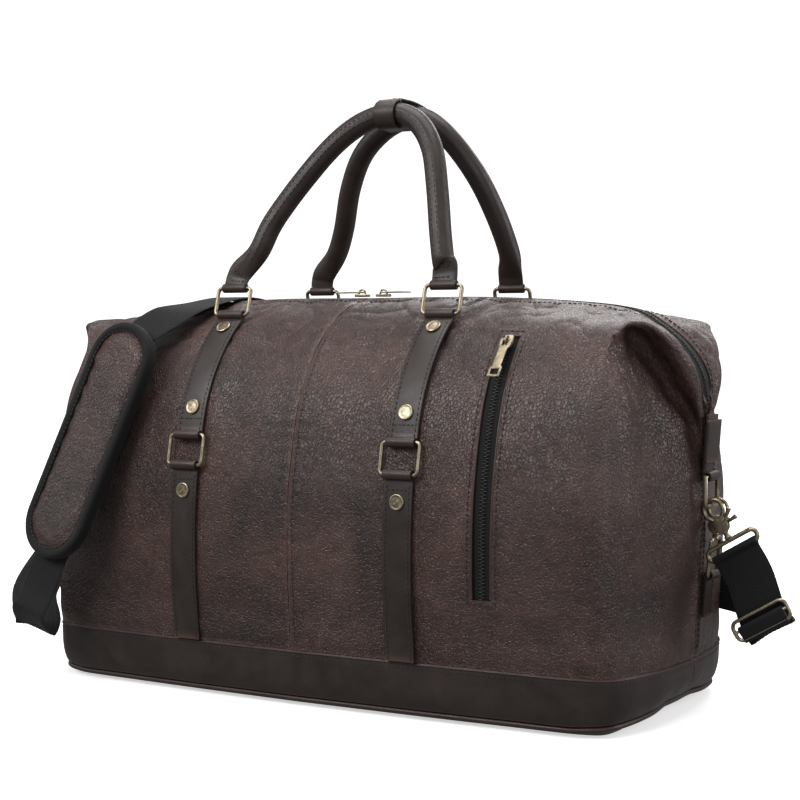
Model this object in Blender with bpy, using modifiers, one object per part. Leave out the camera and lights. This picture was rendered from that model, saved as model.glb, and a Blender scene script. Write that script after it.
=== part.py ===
"""Weekender travel bag: leather body on a dark base band, strapped rolled handles, two-way top zip,
front pocket zip, and a webbing shoulder strap with a pad. Built in metres, +Z up, front towards -Y."""

import math

import bmesh
import bpy
from mathutils import Matrix, Vector

MM = 0.001
COLLECTION = "weekender_bag"

# Body surface of one quarter, in millimetres: columns run from the middle seam round the corner to the
# end seam, and rows run from the base band up to the top zip. The fifth and sixth rows of the last four
# columns are the gusset's valley and the folded edge that overhangs it.
QUARTER_NET = (
    ((0, -127, 44.4), (0, -132, 100), (0, -132, 160), (0, -125, 205), (0, -115, 240),
     (0, -97, 271), (0, -72, 297), (0, -42, 314), (0, -13, 321)),
    ((100, -125, 44.4), (100, -130, 100), (100, -129, 160), (100, -121.5, 205), (100, -111.5, 240),
     (100, -94, 271), (100, -70, 297), (100, -42, 313.5), (100, -13, 321)),
    ((180, -122, 44.4), (181, -127, 100), (182, -127, 160), (182, -120, 205), (183, -110, 240),
     (184, -94, 270), (186, -72, 295), (184, -42, 310), (180, -13, 317)),
    ((228, -119, 44.4), (230, -124, 100), (231, -125, 160), (231, -119, 205), (232, -109, 240),
     (234, -95, 271), (238, -78, 295), (234, -44, 306), (226, -13, 311)),
    ((257, -107, 44.4), (259, -110, 100), (260, -110, 160), (258, -104, 205), (255, -96, 243),
     (246, -84, 281), (256, -73, 301), (255, -40, 303), (250, -13, 299)),
    ((272, -62, 44.4), (271, -64, 100), (270, -64, 160), (267, -61, 205), (262, -56, 240),
     (254, -50, 273), (273, -50, 288), (275, -30, 287), (270, -13, 282)),
    ((276, -25, 44.4), (279, -26, 95), (280, -26, 140), (279, -25, 180), (277, -24, 212),
     (273, -22, 237), (287, -26, 256), (287, -19, 259), (283, -13, 261)),
    ((277, -0.25, 44.4), (281, -0.25, 85), (283, -0.25, 120), (284, -0.25, 150), (284.5, -0.25, 175),
     (285, -0.25, 195), (286, -1.5, 210), (287, -4, 223), (288, -8, 236)),
)
COLUMN_STEPS = (0, 0.5, 1, 2, 3, 3.5, 4, 4.5, 5, 6, 7)
ROW_STEPS = (0, 1, 2, 3, 3.5, 4, 4.5, 5, 5.5, 6, 6.5, 7, 8)
MIDDLE_SEAM_X = -8.0
SEAM_GAP = 0.5
PANEL_THICKNESS = 2.2

BAND_TOP = 44.0
BAND_THICKNESS = 2.4
PIPING_RADIUS = 2.2
BASE_THICKNESS = 3.0
BOARD_SIZE = (466, 200, 3.0)

STRAP_WIDTH = 25.0
STRAP_UNDER = 1.3
STRAP_THICKNESS = 2.4
FRONT_STRAPS_X = (-108.0, 91.5)
BACK_STRAPS_X = (-97.0, 92.0)
LOBE_RADIUS = 3.9
EYE_RADIUS = 1.9
WIRE_RADIUS = 1.6
RING_WIDTH = 36.0
RING_HEIGHT = 27.0
LOWER_RING_Z = 197.0
RIVET_RADIUS = 5.8
RIVET_HEIGHT = 2.2
RIVET_Z = (294.0, 231.0, 165.0)

HANDLE_RADIUS = 9.0
HANDLE_TAB = (11.4, 2.2)
FRONT_HANDLE = ((-91, -49, 360), (-80, -43, 385), (-58, -34, 417), (-34, -25, 446), (-12, -20, 463),
                (10, -18, 471), (29, -18, 471), (48, -20, 461), (63, -26, 439), (73, -36, 406),
                (81, -46, 374), (88, -54, 350))
BACK_HANDLE = ((-80, 57, 362), (-68, 50, 384), (-54, 38, 417), (-34, 26, 445), (-8, 17, 463),
               (16, 13, 471), (36, 13, 469), (56, 17, 452), (75, 27, 423), (87, 40, 390), (93, 52, 360))

POCKET_X = 160.0
POCKET_Z = (96.0, 290.0)
POCKET_WIDTH = 17.0

SLIDER_X = (-19.0, 2.0)
TAB_WIDTH = 20.0
D_RING_Z = 184.0
D_RING_WIDTH = 30.0
D_RING_DROP = 23.0
D_WIRE = 1.8
D_CORNER = 4.4

JAW_RADIUS = 8.2
JAW_WIRE = 1.6
HOOK_REACH = 13.0
STRAP_HOOK_Y = -5.4
END_HOOK_Y = 5.4
END_LOOP_Y = 8.6

WEB_WIDTH = 38.0
WEB_THICKNESS = 2.0
PAD_LENGTH = 208.0
PAD_WIDTH = 70.0
PAD_THICKNESS = 12.0


# ---------------------------------------------------------------- helpers

def catmull(points, t):
    """Point on the smooth curve through evenly spaced points, t counted in intervals."""
    last = len(points) - 1
    i = min(int(t), last - 1)
    f = t - i
    p1, p2 = points[i], points[i + 1]
    p0 = points[i - 1] if i > 0 else p1 * 2 - p2
    p3 = points[i + 2] if i + 2 <= last else p2 * 2 - p1
    return (p1 * 2 + (p2 - p0) * f + (p0 * 2 - p1 * 5 + p2 * 4 - p3) * f ** 2
            + (p1 * 3 - p0 - p2 * 3 + p3) * f ** 3) * 0.5


NET = [[Vector(point) for point in column] for column in QUARTER_NET]


def body_point(u, v, side_x, side_y):
    """Outer surface of the body. side_x and side_y are +1 or -1 and choose the quarter."""
    point = catmull([catmull(column, v) for column in NET], u)
    shift = MIDDLE_SEAM_X * max(0.0, 1.0 - u / 3.0)
    return Vector((side_x * point.x + shift, -side_y * point.y, point.z))


def profile_at(x, side_y, z_low, z_high, count):
    """Points (y, z) up the body's face in the vertical plane at x."""
    side_x = 1 if x > MIDDLE_SEAM_X else -1

    def at(v):
        low, high = 0.0, 4.0
        for _ in range(24):
            middle = (low + high) / 2
            if side_x * body_point(middle, v, side_x, side_y).x < side_x * x:
                low = middle
            else:
                high = middle
        return body_point(low, v, side_x, side_y)

    def height(v):
        return at(v).z

    ends = []
    for z in (z_low, z_high):
        low, high = 0.0, 8.0
        for _ in range(24):
            middle = (low + high) / 2
            if height(middle) < z:
                low = middle
            else:
                high = middle
        ends.append(low)
    rows = [ends[0] + (ends[1] - ends[0]) * i / (count - 1) for i in range(count)]
    return [Vector((at(v).y, at(v).z)) for v in rows]


def normals_2d(points, outward):
    """Unit normals of an open polyline, on the side that outward points to."""
    found = []
    for i in range(len(points)):
        along = (points[min(i + 1, len(points) - 1)] - points[max(i - 1, 0)]).normalized()
        normal = Vector((along.y, -along.x))
        found.append(normal if normal.dot(outward) > 0 else -normal)
    return found


def material(name, colour, roughness, metallic=0.0):
    made = bpy.data.materials.new(name)
    made.use_nodes = True
    shader = made.node_tree.nodes["Principled BSDF"]
    shader.inputs["Base Color"].default_value = (*colour, 1.0)
    shader.inputs["Roughness"].default_value = roughness
    shader.inputs["Metallic"].default_value = metallic
    made.diffuse_color = (*colour, 1.0)
    return made


def finish(obj, look, origin=None):
    """Puts the object in the bag's collection, with its origin at the given point in millimetres."""
    obj.data.materials.clear()
    obj.data.materials.append(look)
    if obj.name not in BAG.objects:
        BAG.objects.link(obj)
    if origin is not None:
        point = Vector(origin) * MM
        obj.data.transform(Matrix.Translation(-point) @ obj.matrix_world)
        obj.matrix_world = Matrix.Translation(point)
    return obj


def mesh_object(name, vertices, faces):
    mesh = bpy.data.meshes.new(name)
    mesh.from_pydata([tuple(Vector(v) * MM) for v in vertices], [], faces)
    work = bmesh.new()
    work.from_mesh(mesh)
    bmesh.ops.recalc_face_normals(work, faces=work.faces)
    work.to_mesh(mesh)
    work.free()
    obj = bpy.data.objects.new(name, mesh)
    BAG.objects.link(obj)
    return obj


def loft(name, sections, ring=False):
    """Solid through matching closed sections. With ring, the last section joins the first."""
    size = len(sections[0])
    vertices = [point for section in sections for point in section]
    faces = []
    for i in range(len(sections) if ring else len(sections) - 1):
        here = i * size
        after = (i + 1) % len(sections) * size
        for j in range(size):
            k = (j + 1) % size
            faces.append((here + j, here + k, after + k, after + j))
    if not ring:
        faces.append(tuple(range(size)))
        faces.append(tuple(range(len(vertices) - size, len(vertices))))
    return mesh_object(name, vertices, faces)


def bake(obj):
    """Replaces the object's data by its evaluated mesh, welded and facing out."""
    bpy.context.view_layer.update()
    graph = bpy.context.evaluated_depsgraph_get()
    mesh = bpy.data.meshes.new_from_object(obj.evaluated_get(graph))
    work = bmesh.new()
    work.from_mesh(mesh)
    bmesh.ops.remove_doubles(work, verts=work.verts, dist=1e-6)
    bmesh.ops.recalc_face_normals(work, faces=work.faces)
    work.to_mesh(mesh)
    work.free()
    made = bpy.data.objects.new("baked", mesh)
    BAG.objects.link(made)
    made.matrix_world = obj.matrix_world.copy()
    name = obj.name
    bpy.data.objects.remove(obj)
    made.name = name
    made.data.name = name
    return made


def boolean(target, others, operation):
    """Joins the others to the target, or cuts them from it, and removes them."""
    for other in others:
        step = target.modifiers.new(operation.lower(), "BOOLEAN")
        step.operation = operation
        step.solver = "EXACT"
        step.object = other
    made = bake(target)
    for other in others:
        bpy.data.objects.remove(other)
    return made


def wire(name, points, radius, cyclic=True, sides=6):
    """Round wire through points given in millimetres."""
    curve = bpy.data.curves.new(name, "CURVE")
    curve.dimensions = "3D"
    curve.bevel_depth = radius * MM
    curve.bevel_resolution = (sides - 4) // 2
    curve.use_fill_caps = True
    spline = curve.splines.new("POLY")
    spline.points.add(len(points) - 1)
    for place, point in zip(spline.points, points):
        place.co = (*(Vector(point) * MM), 1.0)
    spline.use_cyclic_u = cyclic
    obj = bpy.data.objects.new(name, curve)
    BAG.objects.link(obj)
    return bake(obj)


def extruded(name, outlines, width, axis_map, centre):
    """Flat outlines, given as 2D points in millimetres, thickened by width about the centre plane."""
    curve = bpy.data.curves.new(name, "CURVE")
    curve.dimensions = "2D"
    curve.fill_mode = "BOTH"
    curve.extrude = width / 2 * MM
    for outline in outlines:
        spline = curve.splines.new("POLY")
        spline.points.add(len(outline) - 1)
        for place, point in zip(spline.points, outline):
            place.co = (point[0] * MM, point[1] * MM, 0.0, 1.0)
        spline.use_cyclic_u = True
    obj = bpy.data.objects.new(name, curve)
    BAG.objects.link(obj)
    obj.matrix_world = Matrix.Translation(Vector(centre) * MM) @ axis_map.to_4x4()
    return bake(obj)


def axes(first, second, third):
    """Rotation whose columns are the world directions of the local axes."""
    return Matrix((first, second, third)).transposed()


FLAT_IN_YZ = axes((0, 1, 0), (0, 0, 1), (1, 0, 0))
FLAT_IN_XZ = axes((1, 0, 0), (0, 0, 1), (0, -1, 0))


def arc(centre, radius, start, end, count):
    """2D points on an arc, angles in degrees, both ends included."""
    steps = [math.radians(start + (end - start) * i / (count - 1)) for i in range(count)]
    return [Vector((centre[0] + radius * math.cos(a), centre[1] + radius * math.sin(a))) for a in steps]


def tube(name, centre, outer, inner, length, axis):
    """Short tube of leather or metal round a bar along the given axis."""
    side = Vector((0, 0, 1)) if abs(axis.z) < 0.9 else Vector((1, 0, 0))
    first = axis.cross(side).normalized()
    turn = axes(first, axis.cross(first), axis)
    steps = [arc((0, 0), radius, 0, 337.5, 16) for radius in (outer, inner)]
    return extruded(name, steps, length, turn, centre)


def cylinder(name, centre, radius, length, axis, sides=16, bevel=0.0):
    bpy.ops.mesh.primitive_cylinder_add(vertices=sides, radius=radius * MM, depth=length * MM)
    obj = bpy.context.object
    obj.name = name
    turn = Vector((0, 0, 1)).rotation_difference(Vector(axis)).to_matrix().to_4x4()
    obj.matrix_world = Matrix.Translation(Vector(centre) * MM) @ turn
    if bevel:
        step = obj.modifiers.new("edge", "BEVEL")
        step.width = bevel * MM
        step.segments = 1
        step.limit_method = "ANGLE"
    return bake(obj)


def block(name, centre, size, turn=None):
    bpy.ops.mesh.primitive_cube_add(size=1.0)
    obj = bpy.context.object
    obj.name = name
    obj.scale = Vector(size) * MM
    obj.data.transform(Matrix.Diagonal((*obj.scale, 1.0)))
    obj.scale = (1, 1, 1)
    spin = turn.to_4x4() if turn else Matrix.Identity(4)
    obj.matrix_world = Matrix.Translation(Vector(centre) * MM) @ spin
    return obj


def rounded_loop(width, height, radius, corner_steps=4):
    """2D rounded rectangle about the origin."""
    points = []
    corners = ((1, -1, -90), (1, 1, 0), (-1, 1, 90), (-1, -1, 180))
    for side_x, side_y, start in corners:
        centre = (side_x * (width / 2 - radius), side_y * (height / 2 - radius))
        points += arc(centre, radius, start, start + 90, corner_steps)
    return points


# ---------------------------------------------------------------- body

def body_panel(name, side_x, side_y):
    vertices = []
    for u in COLUMN_STEPS:
        for v in ROW_STEPS:
            point = body_point(u, v, side_x, side_y)
            if u == 0:
                point.x += side_x * SEAM_GAP / 2
            vertices.append(point)
    rows = len(ROW_STEPS)
    faces = []
    for i in range(len(COLUMN_STEPS) - 1):
        for j in range(rows - 1):
            corner = i * rows + j
            face = (corner, corner + rows, corner + rows + 1, corner + 1)
            faces.append(face if side_x * side_y < 0 else face[::-1])
    mesh = bpy.data.meshes.new(name)
    mesh.from_pydata([tuple(v * MM) for v in vertices], [], faces)
    obj = bpy.data.objects.new(name, mesh)
    BAG.objects.link(obj)
    skin = obj.modifiers.new("leather", "SOLIDIFY")
    skin.thickness = PANEL_THICKNESS * MM
    skin.offset = -1.0
    made = bake(obj)
    end_y, middle_x = SEAM_GAP / 2 * MM, (MIDDLE_SEAM_X + side_x * SEAM_GAP / 2) * MM
    for vertex in made.data.vertices:
        vertex.co.y = side_y * max(side_y * vertex.co.y, end_y)
        vertex.co.x = side_x * max(side_x * vertex.co.x, side_x * middle_x)
    return made


def base_outline(side_y, inset_front, inset_end, z_front, z_end):
    """Half outline of the base, from the left end seam to the right one, pulled in by the insets."""
    points = []
    for side_x, columns in ((-1, COLUMN_STEPS[::-1]), (1, COLUMN_STEPS[1:])):
        for u in columns:
            point = body_point(u, 0, side_x, side_y)
            turn = min(1.0, max(0.0, (u - 3.0) / 3.0))
            inset = inset_front + (inset_end - inset_front) * turn
            lean = math.sin(turn * math.pi / 2)
            point.x -= side_x * inset * lean
            point.y -= side_y * inset * (1 - turn)
            point.z = z_front + (z_end - z_front) * turn
            points.append(point)
    return points


def base_band(name, side_y):
    """Half of the dark band: outer rows from the seam down, then the same rows inside."""
    rows = ((0.0, 0.0, BAND_TOP, BAND_TOP), (-0.4, -0.2, 30, 31), (0.2, 4.0, 17, 21), (2.6, 11, 8.2, 14.5))
    outer = [base_outline(side_y, *row) for row in rows]
    inner = [base_outline(side_y, row[0] + BAND_THICKNESS, row[1] + BAND_THICKNESS, row[2], row[3])
             for row in rows]
    sections = [[row[i] for row in outer] + [row[i] for row in reversed(inner)]
                for i in range(len(outer[0]))]
    return loft(name, sections)


def base_ring(inset_front, inset_end, z_front, z_end):
    """Whole outline of the base as one closed loop."""
    front = base_outline(-1, inset_front, inset_end, z_front, z_end)
    back = base_outline(1, inset_front, inset_end, z_front, z_end)
    return front[:-1] + back[::-1][:-1]


def base_plate(name):
    """Bottom panel: flat on the ground, turned up a little at both ends."""
    rings = ((9.5, 19.0, 5.2, 11.2), (16.0, 36.0, 0.0, 0.0))
    under = [base_ring(*ring) for ring in rings]
    over = [[point + Vector((0, 0, BASE_THICKNESS)) for point in ring] for ring in under]
    size = len(under[0])
    vertices = under[0] + under[1] + over[0] + over[1]
    faces = []
    for j in range(size):
        k = (j + 1) % size
        faces.append((j, k, size + k, size + j))
        faces.append((2 * size + j, 3 * size + j, 3 * size + k, 2 * size + k))
        faces.append((j, 2 * size + j, 2 * size + k, k))
    faces.append(tuple(range(size, 2 * size)))
    faces.append(tuple(range(3 * size, 4 * size)))
    return mesh_object(name, vertices, faces)


def zip_path(margin, step_count):
    """Centre line of the top zip from the left end to the right one, as (point, half opening)."""
    found = []
    for side_x in (-1, 1):
        half = []
        for i in range(step_count + 1):
            u = 7.0 * i / step_count
            if u > 7.0 - margin:
                break
            point = body_point(u, 8, side_x, -1)
            half.append((Vector((point.x, 0, point.z)), -point.y))
        found.append(half)
    return found[0][::-1] + found[1][1:]


def top_zip(name):
    """Tape with its coil down the middle, set between the two edges of the opening."""
    path = zip_path(0.1, 28)
    sections = []
    for i, (point, half) in enumerate(path):
        along = path[min(i + 1, len(path) - 1)][0] - path[max(i - 1, 0)][0]
        up = Vector((-along.z, 0, along.x)).normalized()
        edge = half - 0.5
        shape = ((-edge, -1.8), (edge, -1.8), (edge, -0.7), (3.2, -0.7), (3.2, 1.0), (-3.2, 1.0),
                 (-3.2, -0.7), (-edge, -0.7))
        sections.append([point + Vector((0, y, 0)) + up * rise for y, rise in shape])
    return loft(name, sections)


def strip_outline(points, outward, under, over, low_lobe, high_lobe):
    """Outline of a strap lying on a face, seen along its width, with a loop at either end."""
    normals = normals_2d(points, outward)
    inner = [point + normal * under for point, normal in zip(points, normals)]
    outer = [point + normal * over for point, normal in zip(points, normals)]
    eyes = []

    def lobe(index, away):
        """Points round the loop from the inner line to the outer one."""
        normal = normals[index]
        along = (points[1] - points[0]) if index == 0 else (points[-1] - points[-2])
        along = along.normalized() * away
        centre = points[index] + normal * (under + LOBE_RADIUS)
        eyes.append(centre)
        swept = []
        for step in range(15):
            angle = math.radians(290 * step / 14)
            swept.append(centre - normal * LOBE_RADIUS * math.cos(angle)
                         + along * LOBE_RADIUS * math.sin(angle))
        return swept

    outline = inner[:-1] if high_lobe else list(inner)
    if high_lobe:
        outline += lobe(-1, 1.0)
        outer = outer[:-1]
    back = outer[::-1]
    if low_lobe:
        outline = outline[1:]
        back = back[:-1]
        outline += back + lobe(0, -1.0)[::-1]
    else:
        outline += back
    return outline, eyes


def strap(name, x, side_y, z_low, z_high, low_lobe, high_lobe, look):
    """Leather strap on the face, with the centres (y, z) of its loops."""
    points = profile_at(x, side_y, z_low, z_high, 9)
    outward = Vector((side_y, 0.3))
    over = STRAP_UNDER + STRAP_THICKNESS
    outline, eyes = strip_outline(points, outward, STRAP_UNDER, over, low_lobe, high_lobe)
    holes = [arc(eye, EYE_RADIUS, 0, 330, 12) for eye in eyes]
    obj = extruded(name, [outline] + holes, STRAP_WIDTH, FLAT_IN_YZ, (x, 0, 0))
    finish(obj, look)
    return eyes


def rivet(name, x, side_y, z):
    points = profile_at(x, side_y, z - 4, z + 4, 3)
    normal = normals_2d(points, Vector((side_y, 0.3)))[1]
    seat = points[1] + normal * (STRAP_UNDER + STRAP_THICKNESS + 0.3 + RIVET_HEIGHT / 2)
    obj = cylinder(name, (x, seat.x, seat.y), RIVET_RADIUS, RIVET_HEIGHT, (0, normal.x, normal.y),
                   sides=14, bevel=0.8)
    return finish(obj, BRASS)


def ring(name, x, low, high):
    """Rectangular wire ring with its lower bar at low and its upper bar at high, both (y, z)."""
    rise = (high - low).normalized()
    centre = (low + high) / 2
    height = (high - low).length
    points = [(x + p.x, centre.x + rise.x * p.y, centre.y + rise.y * p.y)
              for p in rounded_loop(RING_WIDTH - 2 * WIRE_RADIUS, height, 3.5)]
    return wire(name, points, WIRE_RADIUS)


# ---------------------------------------------------------------- handles

def handle(name, path, left_bar, right_bar, look):
    """Rolled leather grip whose flat ends fold round the upper bars of two rings."""
    inner = [Vector(p) for p in path]
    stations = []
    for bar, near, order in ((left_bar, inner[0], 1), (right_bar, inner[-1], -1)):
        upright = Vector((0, near.y - bar.y, near.z - bar.z)).normalized()
        lean = (near.x - bar.x) / (near.z - bar.z)
        flare = [(bar + upright * 3.0, HANDLE_TAB),
                 (bar + upright * 9.0 + Vector((lean * 1.5, 0, 0)), HANDLE_TAB),
                 (bar + upright * 16.0 + Vector((lean * 7.0, 0, 0)), (11.0, 4.4))]
        stations.append(flare[::order])
    middle = [(point, (HANDLE_RADIUS, HANDLE_RADIUS)) for point in inner]
    line = stations[0] + middle + stations[1]
    across = Vector((1, 0, 0))
    sections = []
    for i, (point, (half_width, half_depth)) in enumerate(line):
        along = (line[min(i + 1, len(line) - 1)][0] - line[max(i - 1, 0)][0]).normalized()
        depth = Vector((0, 1, 0)) - along * along.y
        depth.normalize()
        across = along.cross(depth)
        section = []
        for step in range(12):
            angle = math.radians(30 * step)
            section.append(point + across * half_width * math.cos(angle)
                           + depth * half_depth * math.sin(angle))
        sections.append(section)
    grip = loft(name, sections)
    x_axis = Vector((1, 0, 0))
    eyes = [tube("eye", bar, LOBE_RADIUS, EYE_RADIUS, 2 * HANDLE_TAB[0], x_axis)
            for bar in (left_bar, right_bar)]
    grip = boolean(grip, eyes, "UNION")
    return finish(grip, look, (left_bar + right_bar) / 2)


def handle_keeper(name, path, look, origin):
    """Leather keeper wrapped round the front grip, with a short flap over the gap to the back grip."""
    centre = (Vector(path[5]) * 0.55 + Vector(path[6]) * 0.45)
    along = (Vector(path[6]) - Vector(path[5])).normalized()
    band = tube("keeper", centre, HANDLE_RADIUS + 3.0, HANDLE_RADIUS + 0.9, 19.0, along)
    flap = block("flap", centre + Vector((0, 11, HANDLE_RADIUS + 1.9)), (19.0, 24.0, 1.8))
    made = boolean(band, [flap], "UNION")
    made.name = name
    return finish(made, look, origin)


# ---------------------------------------------------------------- hardware at the ends

def end_profile(side_x, z_low, z_high, count):
    """Points (x, z) up the end seam."""
    rows = []
    for i in range(count):
        z = z_low + (z_high - z_low) * i / (count - 1)
        low, high = 0.0, 8.0
        for _ in range(24):
            middle = (low + high) / 2
            if body_point(7, middle, side_x, -1).z < z:
                low = middle
            else:
                high = middle
        rows.append(Vector((body_point(7, low, side_x, -1).x, z)))
    return rows


def end_tab(name, side_x, y, z_low, z_high, low_lobe, high_lobe, width, look):
    points = end_profile(side_x, z_low, z_high, 6)
    outline, eyes = strip_outline(points, Vector((side_x, 0.0)), 1.6, 4.4, low_lobe, high_lobe)
    holes = [arc(eye, D_WIRE + 0.4, 0, 330, 12) for eye in eyes]
    obj = extruded(name, [outline] + holes, width, FLAT_IN_XZ, (0, y, 0))
    finish(obj, look)
    return eyes


def d_ring(name, bar_x, bar_z):
    half = D_RING_WIDTH / 2 - D_WIRE
    low = D_CORNER - D_RING_DROP
    outline = [Vector((half, 0)), Vector((-half, 0))] + arc((D_CORNER - half, low), D_CORNER, 180, 270, 5)
    outline += arc((half - D_CORNER, low), D_CORNER, 270, 360, 5)
    points = [(bar_x, p.x, bar_z + p.y) for p in outline]
    obj = wire(name, points, D_WIRE)
    return finish(obj, BRASS, (bar_x, 0, bar_z))


def scissor_hook(prefix, hang, direction, y, side_x, look):
    """Two-jaw snap hook lying in an XZ plane: a jaw with the swivel post, and a second sprung jaw."""
    down = Vector((direction[0], 0, direction[1])).normalized()
    side = Vector((-down.z * side_x, 0, down.x * side_x))
    depth = Vector((0, 1, 0))
    centre = Vector((hang[0], y, hang[1]))
    pivot = centre + down * HOOK_REACH
    jaw = JAW_RADIUS

    def jaw_arc(start, end, count):
        angles = [math.radians(start + (end - start) * i / (count - 1)) for i in range(count)]
        return [centre + (down * math.cos(a) + side * math.sin(a)) * jaw for a in angles]

    near, far = depth * 1.75, depth * -1.75
    body = wire("fixed_jaw", [point + near for point in jaw_arc(0, -180, 11)], JAW_WIRE, cyclic=False)
    pieces = [
        cylinder("plate", pivot + near, 5.2, 1.8, (0, 1, 0), sides=14),
        wire("root", [centre + down * 7.4 + side * 1.5 + near, pivot + near], 1.4, cyclic=False),
        cylinder("post", pivot + down * 8.0, 1.9, 4.8, down, sides=10),
        wire("neck", [pivot + near + down * 3.0, pivot + near * 0.9 + down * 8.0], 1.2, cyclic=False),
        wire("lever", [pivot + near + side * 2.0, pivot + near + side * 13.0 - down * 1.0], 1.1, cyclic=False,
             sides=6),
    ]
    body = boolean(body, pieces, "UNION")
    body.name = prefix + "_body"
    finish(body, look, pivot)

    gate = wire("moving_jaw", [point + far for point in jaw_arc(0, 176, 11)], JAW_WIRE, cyclic=False)
    pieces = [
        cylinder("cheek", pivot + far, 5.2, 1.8, (0, 1, 0), sides=14),
        wire("heel", [centre + down * 7.4 - side * 1.5 + far, pivot + far], 1.4, cyclic=False),
        wire("thumb", [pivot + far + side * 2.0, pivot + far + side * 12.5 - down * 8.5], 1.1, cyclic=False,
             sides=6),
    ]
    gate = boolean(gate, pieces, "UNION")
    gate.name = prefix + "_jaw"
    finish(gate, look, pivot)
    return pivot + down * 12.6, down, side


def swivel_loop(name, top, down, across, look):
    """Oval loop that holds the webbing, with a collar round the hook's post."""
    width, drop = WEB_WIDTH + 5.0, 9.0
    centre = top + down * drop / 2
    points = [centre + across * p.x + down * p.y for p in rounded_loop(width, drop, 4.4)]
    return finish(wire(name, points, 1.8), look, top)


# ---------------------------------------------------------------- shoulder strap

def ribbon(name, stations, per_span, look):
    """Flat webbing through stations of (centre, width direction)."""
    centres = [Vector(centre) for centre, _ in stations]
    widths = [Vector(width).normalized() for _, width in stations]
    sections = []
    count = (len(stations) - 1) * per_span
    for i in range(count + 1):
        t = (len(stations) - 1) * i / count
        point = catmull(centres, t)
        ahead = catmull(centres, min(t + 0.02, len(stations) - 1.0))
        behind = catmull(centres, max(t - 0.02, 0.0))
        along = (ahead - behind).normalized()
        width = catmull(widths, t)
        width = (width - along * along.dot(width)).normalized()
        face = along.cross(width)
        half, thick = WEB_WIDTH / 2, WEB_THICKNESS / 2
        sections.append([point + width * a * half + face * b * thick
                         for a, b in ((-1, -1), (1, -1), (1, 1), (-1, 1))])
    return finish(loft(name, sections), look)


def slider_and_pull(prefix, seat, along, up, tilt, pull_length, pull_width):
    """Zip slider with a wire bail, and its pull lying in the along direction, tilted down by tilt degrees."""
    side = up.cross(along)
    frame = axes(along, side, up)
    plate = block("plate", seat + up * 1.2, (12.0, 9.5, 2.4), frame)
    bail_centre = seat + up * 2.8
    steps = [math.radians(-15 + 210 * i / 10) for i in range(11)]
    bail = wire("bail", [bail_centre + along * math.cos(a) * 3.2 + up * math.sin(a) * 3.2 for a in steps],
                0.9, cyclic=False, sides=6)
    slider = boolean(plate, [bail], "UNION")
    slider.name = prefix + "_slider"
    finish(slider, BRASS, seat)

    pin = bail_centre + up * 1.0
    turn = Matrix.Rotation(math.radians(tilt), 3, side)
    lying, lifted = turn @ along, turn @ up
    half = pull_width / 2
    body = [(-0.9, -half), (pull_length, -half), (pull_length, half), (-0.9, half)]
    near = [(0.8, -2.3), (6.4, -2.3), (6.4, 2.3), (0.8, 2.3)]
    far = [(pull_length - 7.5, -half + 1.8), (pull_length - 2.2, -half + 1.8),
           (pull_length - 2.2, half - 1.8), (pull_length - 7.5, half - 1.8)]
    pull = extruded(prefix + "_pull", [body, near, far], 1.2, axes(lying, side, lifted), pin)
    finish(pull, BRASS, pin)


def shoulder_pad(name, centre, long_axis, wide_axis, out_axis):
    """Padded rest with round ends that slides on the webbing."""
    outline = rounded_loop(PAD_LENGTH, PAD_WIDTH, PAD_WIDTH / 2 - 1.0, 7)
    pad = extruded(name, [outline], PAD_THICKNESS, axes(long_axis, wide_axis, out_axis), centre)
    soft = pad.modifiers.new("edge", "BEVEL")
    soft.width = 3.0 * MM
    soft.segments = 2
    soft.limit_method = "ANGLE"
    return finish(bake(pad), LEATHER, centre)


# ---------------------------------------------------------------- assembly

for old in list(bpy.data.objects):
    bpy.data.objects.remove(old)
BAG = bpy.data.collections.new(COLLECTION)
bpy.context.scene.collection.children.link(BAG)
layers = bpy.context.view_layer.layer_collection.children
bpy.context.view_layer.active_layer_collection = layers[COLLECTION]

LEATHER = material("brown_leather", (0.070, 0.045, 0.038), 0.45)
DARK = material("dark_leather", (0.030, 0.022, 0.019), 0.42)
FABRIC = material("black_fabric", (0.008, 0.008, 0.008), 0.85)
BRASS = material("antique_brass", (0.36, 0.28, 0.17), 0.32, 1.0)
BOARD = material("grey_board", (0.25, 0.24, 0.22), 0.8)
LINING = material("black_lining", (0.012, 0.012, 0.014), 0.8)

# Body shell
for side_x, sideways in ((-1, "left"), (1, "right")):
    for side_y, facing in ((-1, "front"), (1, "back")):
        panel = body_panel(f"{facing}_panel_{sideways}", side_x, side_y)
        if (sideways, facing) == ("right", "front"):
            slot_line = profile_at(POCKET_X, -1, *POCKET_Z, 13)
            slot, _ = strip_outline(slot_line, Vector((-1, 0.3)), -8.0, 8.0, False, False)
            cutter = extruded("slot", [slot], POCKET_WIDTH, FLAT_IN_YZ, (POCKET_X, 0, 0))
            panel = boolean(panel, [cutter], "DIFFERENCE")
        finish(panel, LEATHER)
finish(base_band("base_band_front", -1), DARK)
finish(base_band("base_band_back", 1), DARK)
finish(wire("base_piping", base_ring(5.0, 14.0, 5.2, 11.6), PIPING_RADIUS, sides=6), DARK)
finish(base_plate("base_panel"), DARK)
board = block("base_board", (0, 0, BASE_THICKNESS + 0.5 + BOARD_SIZE[2] / 2), BOARD_SIZE)
finish(board, BOARD)
finish(top_zip("top_zip_tape"), FABRIC)

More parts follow.
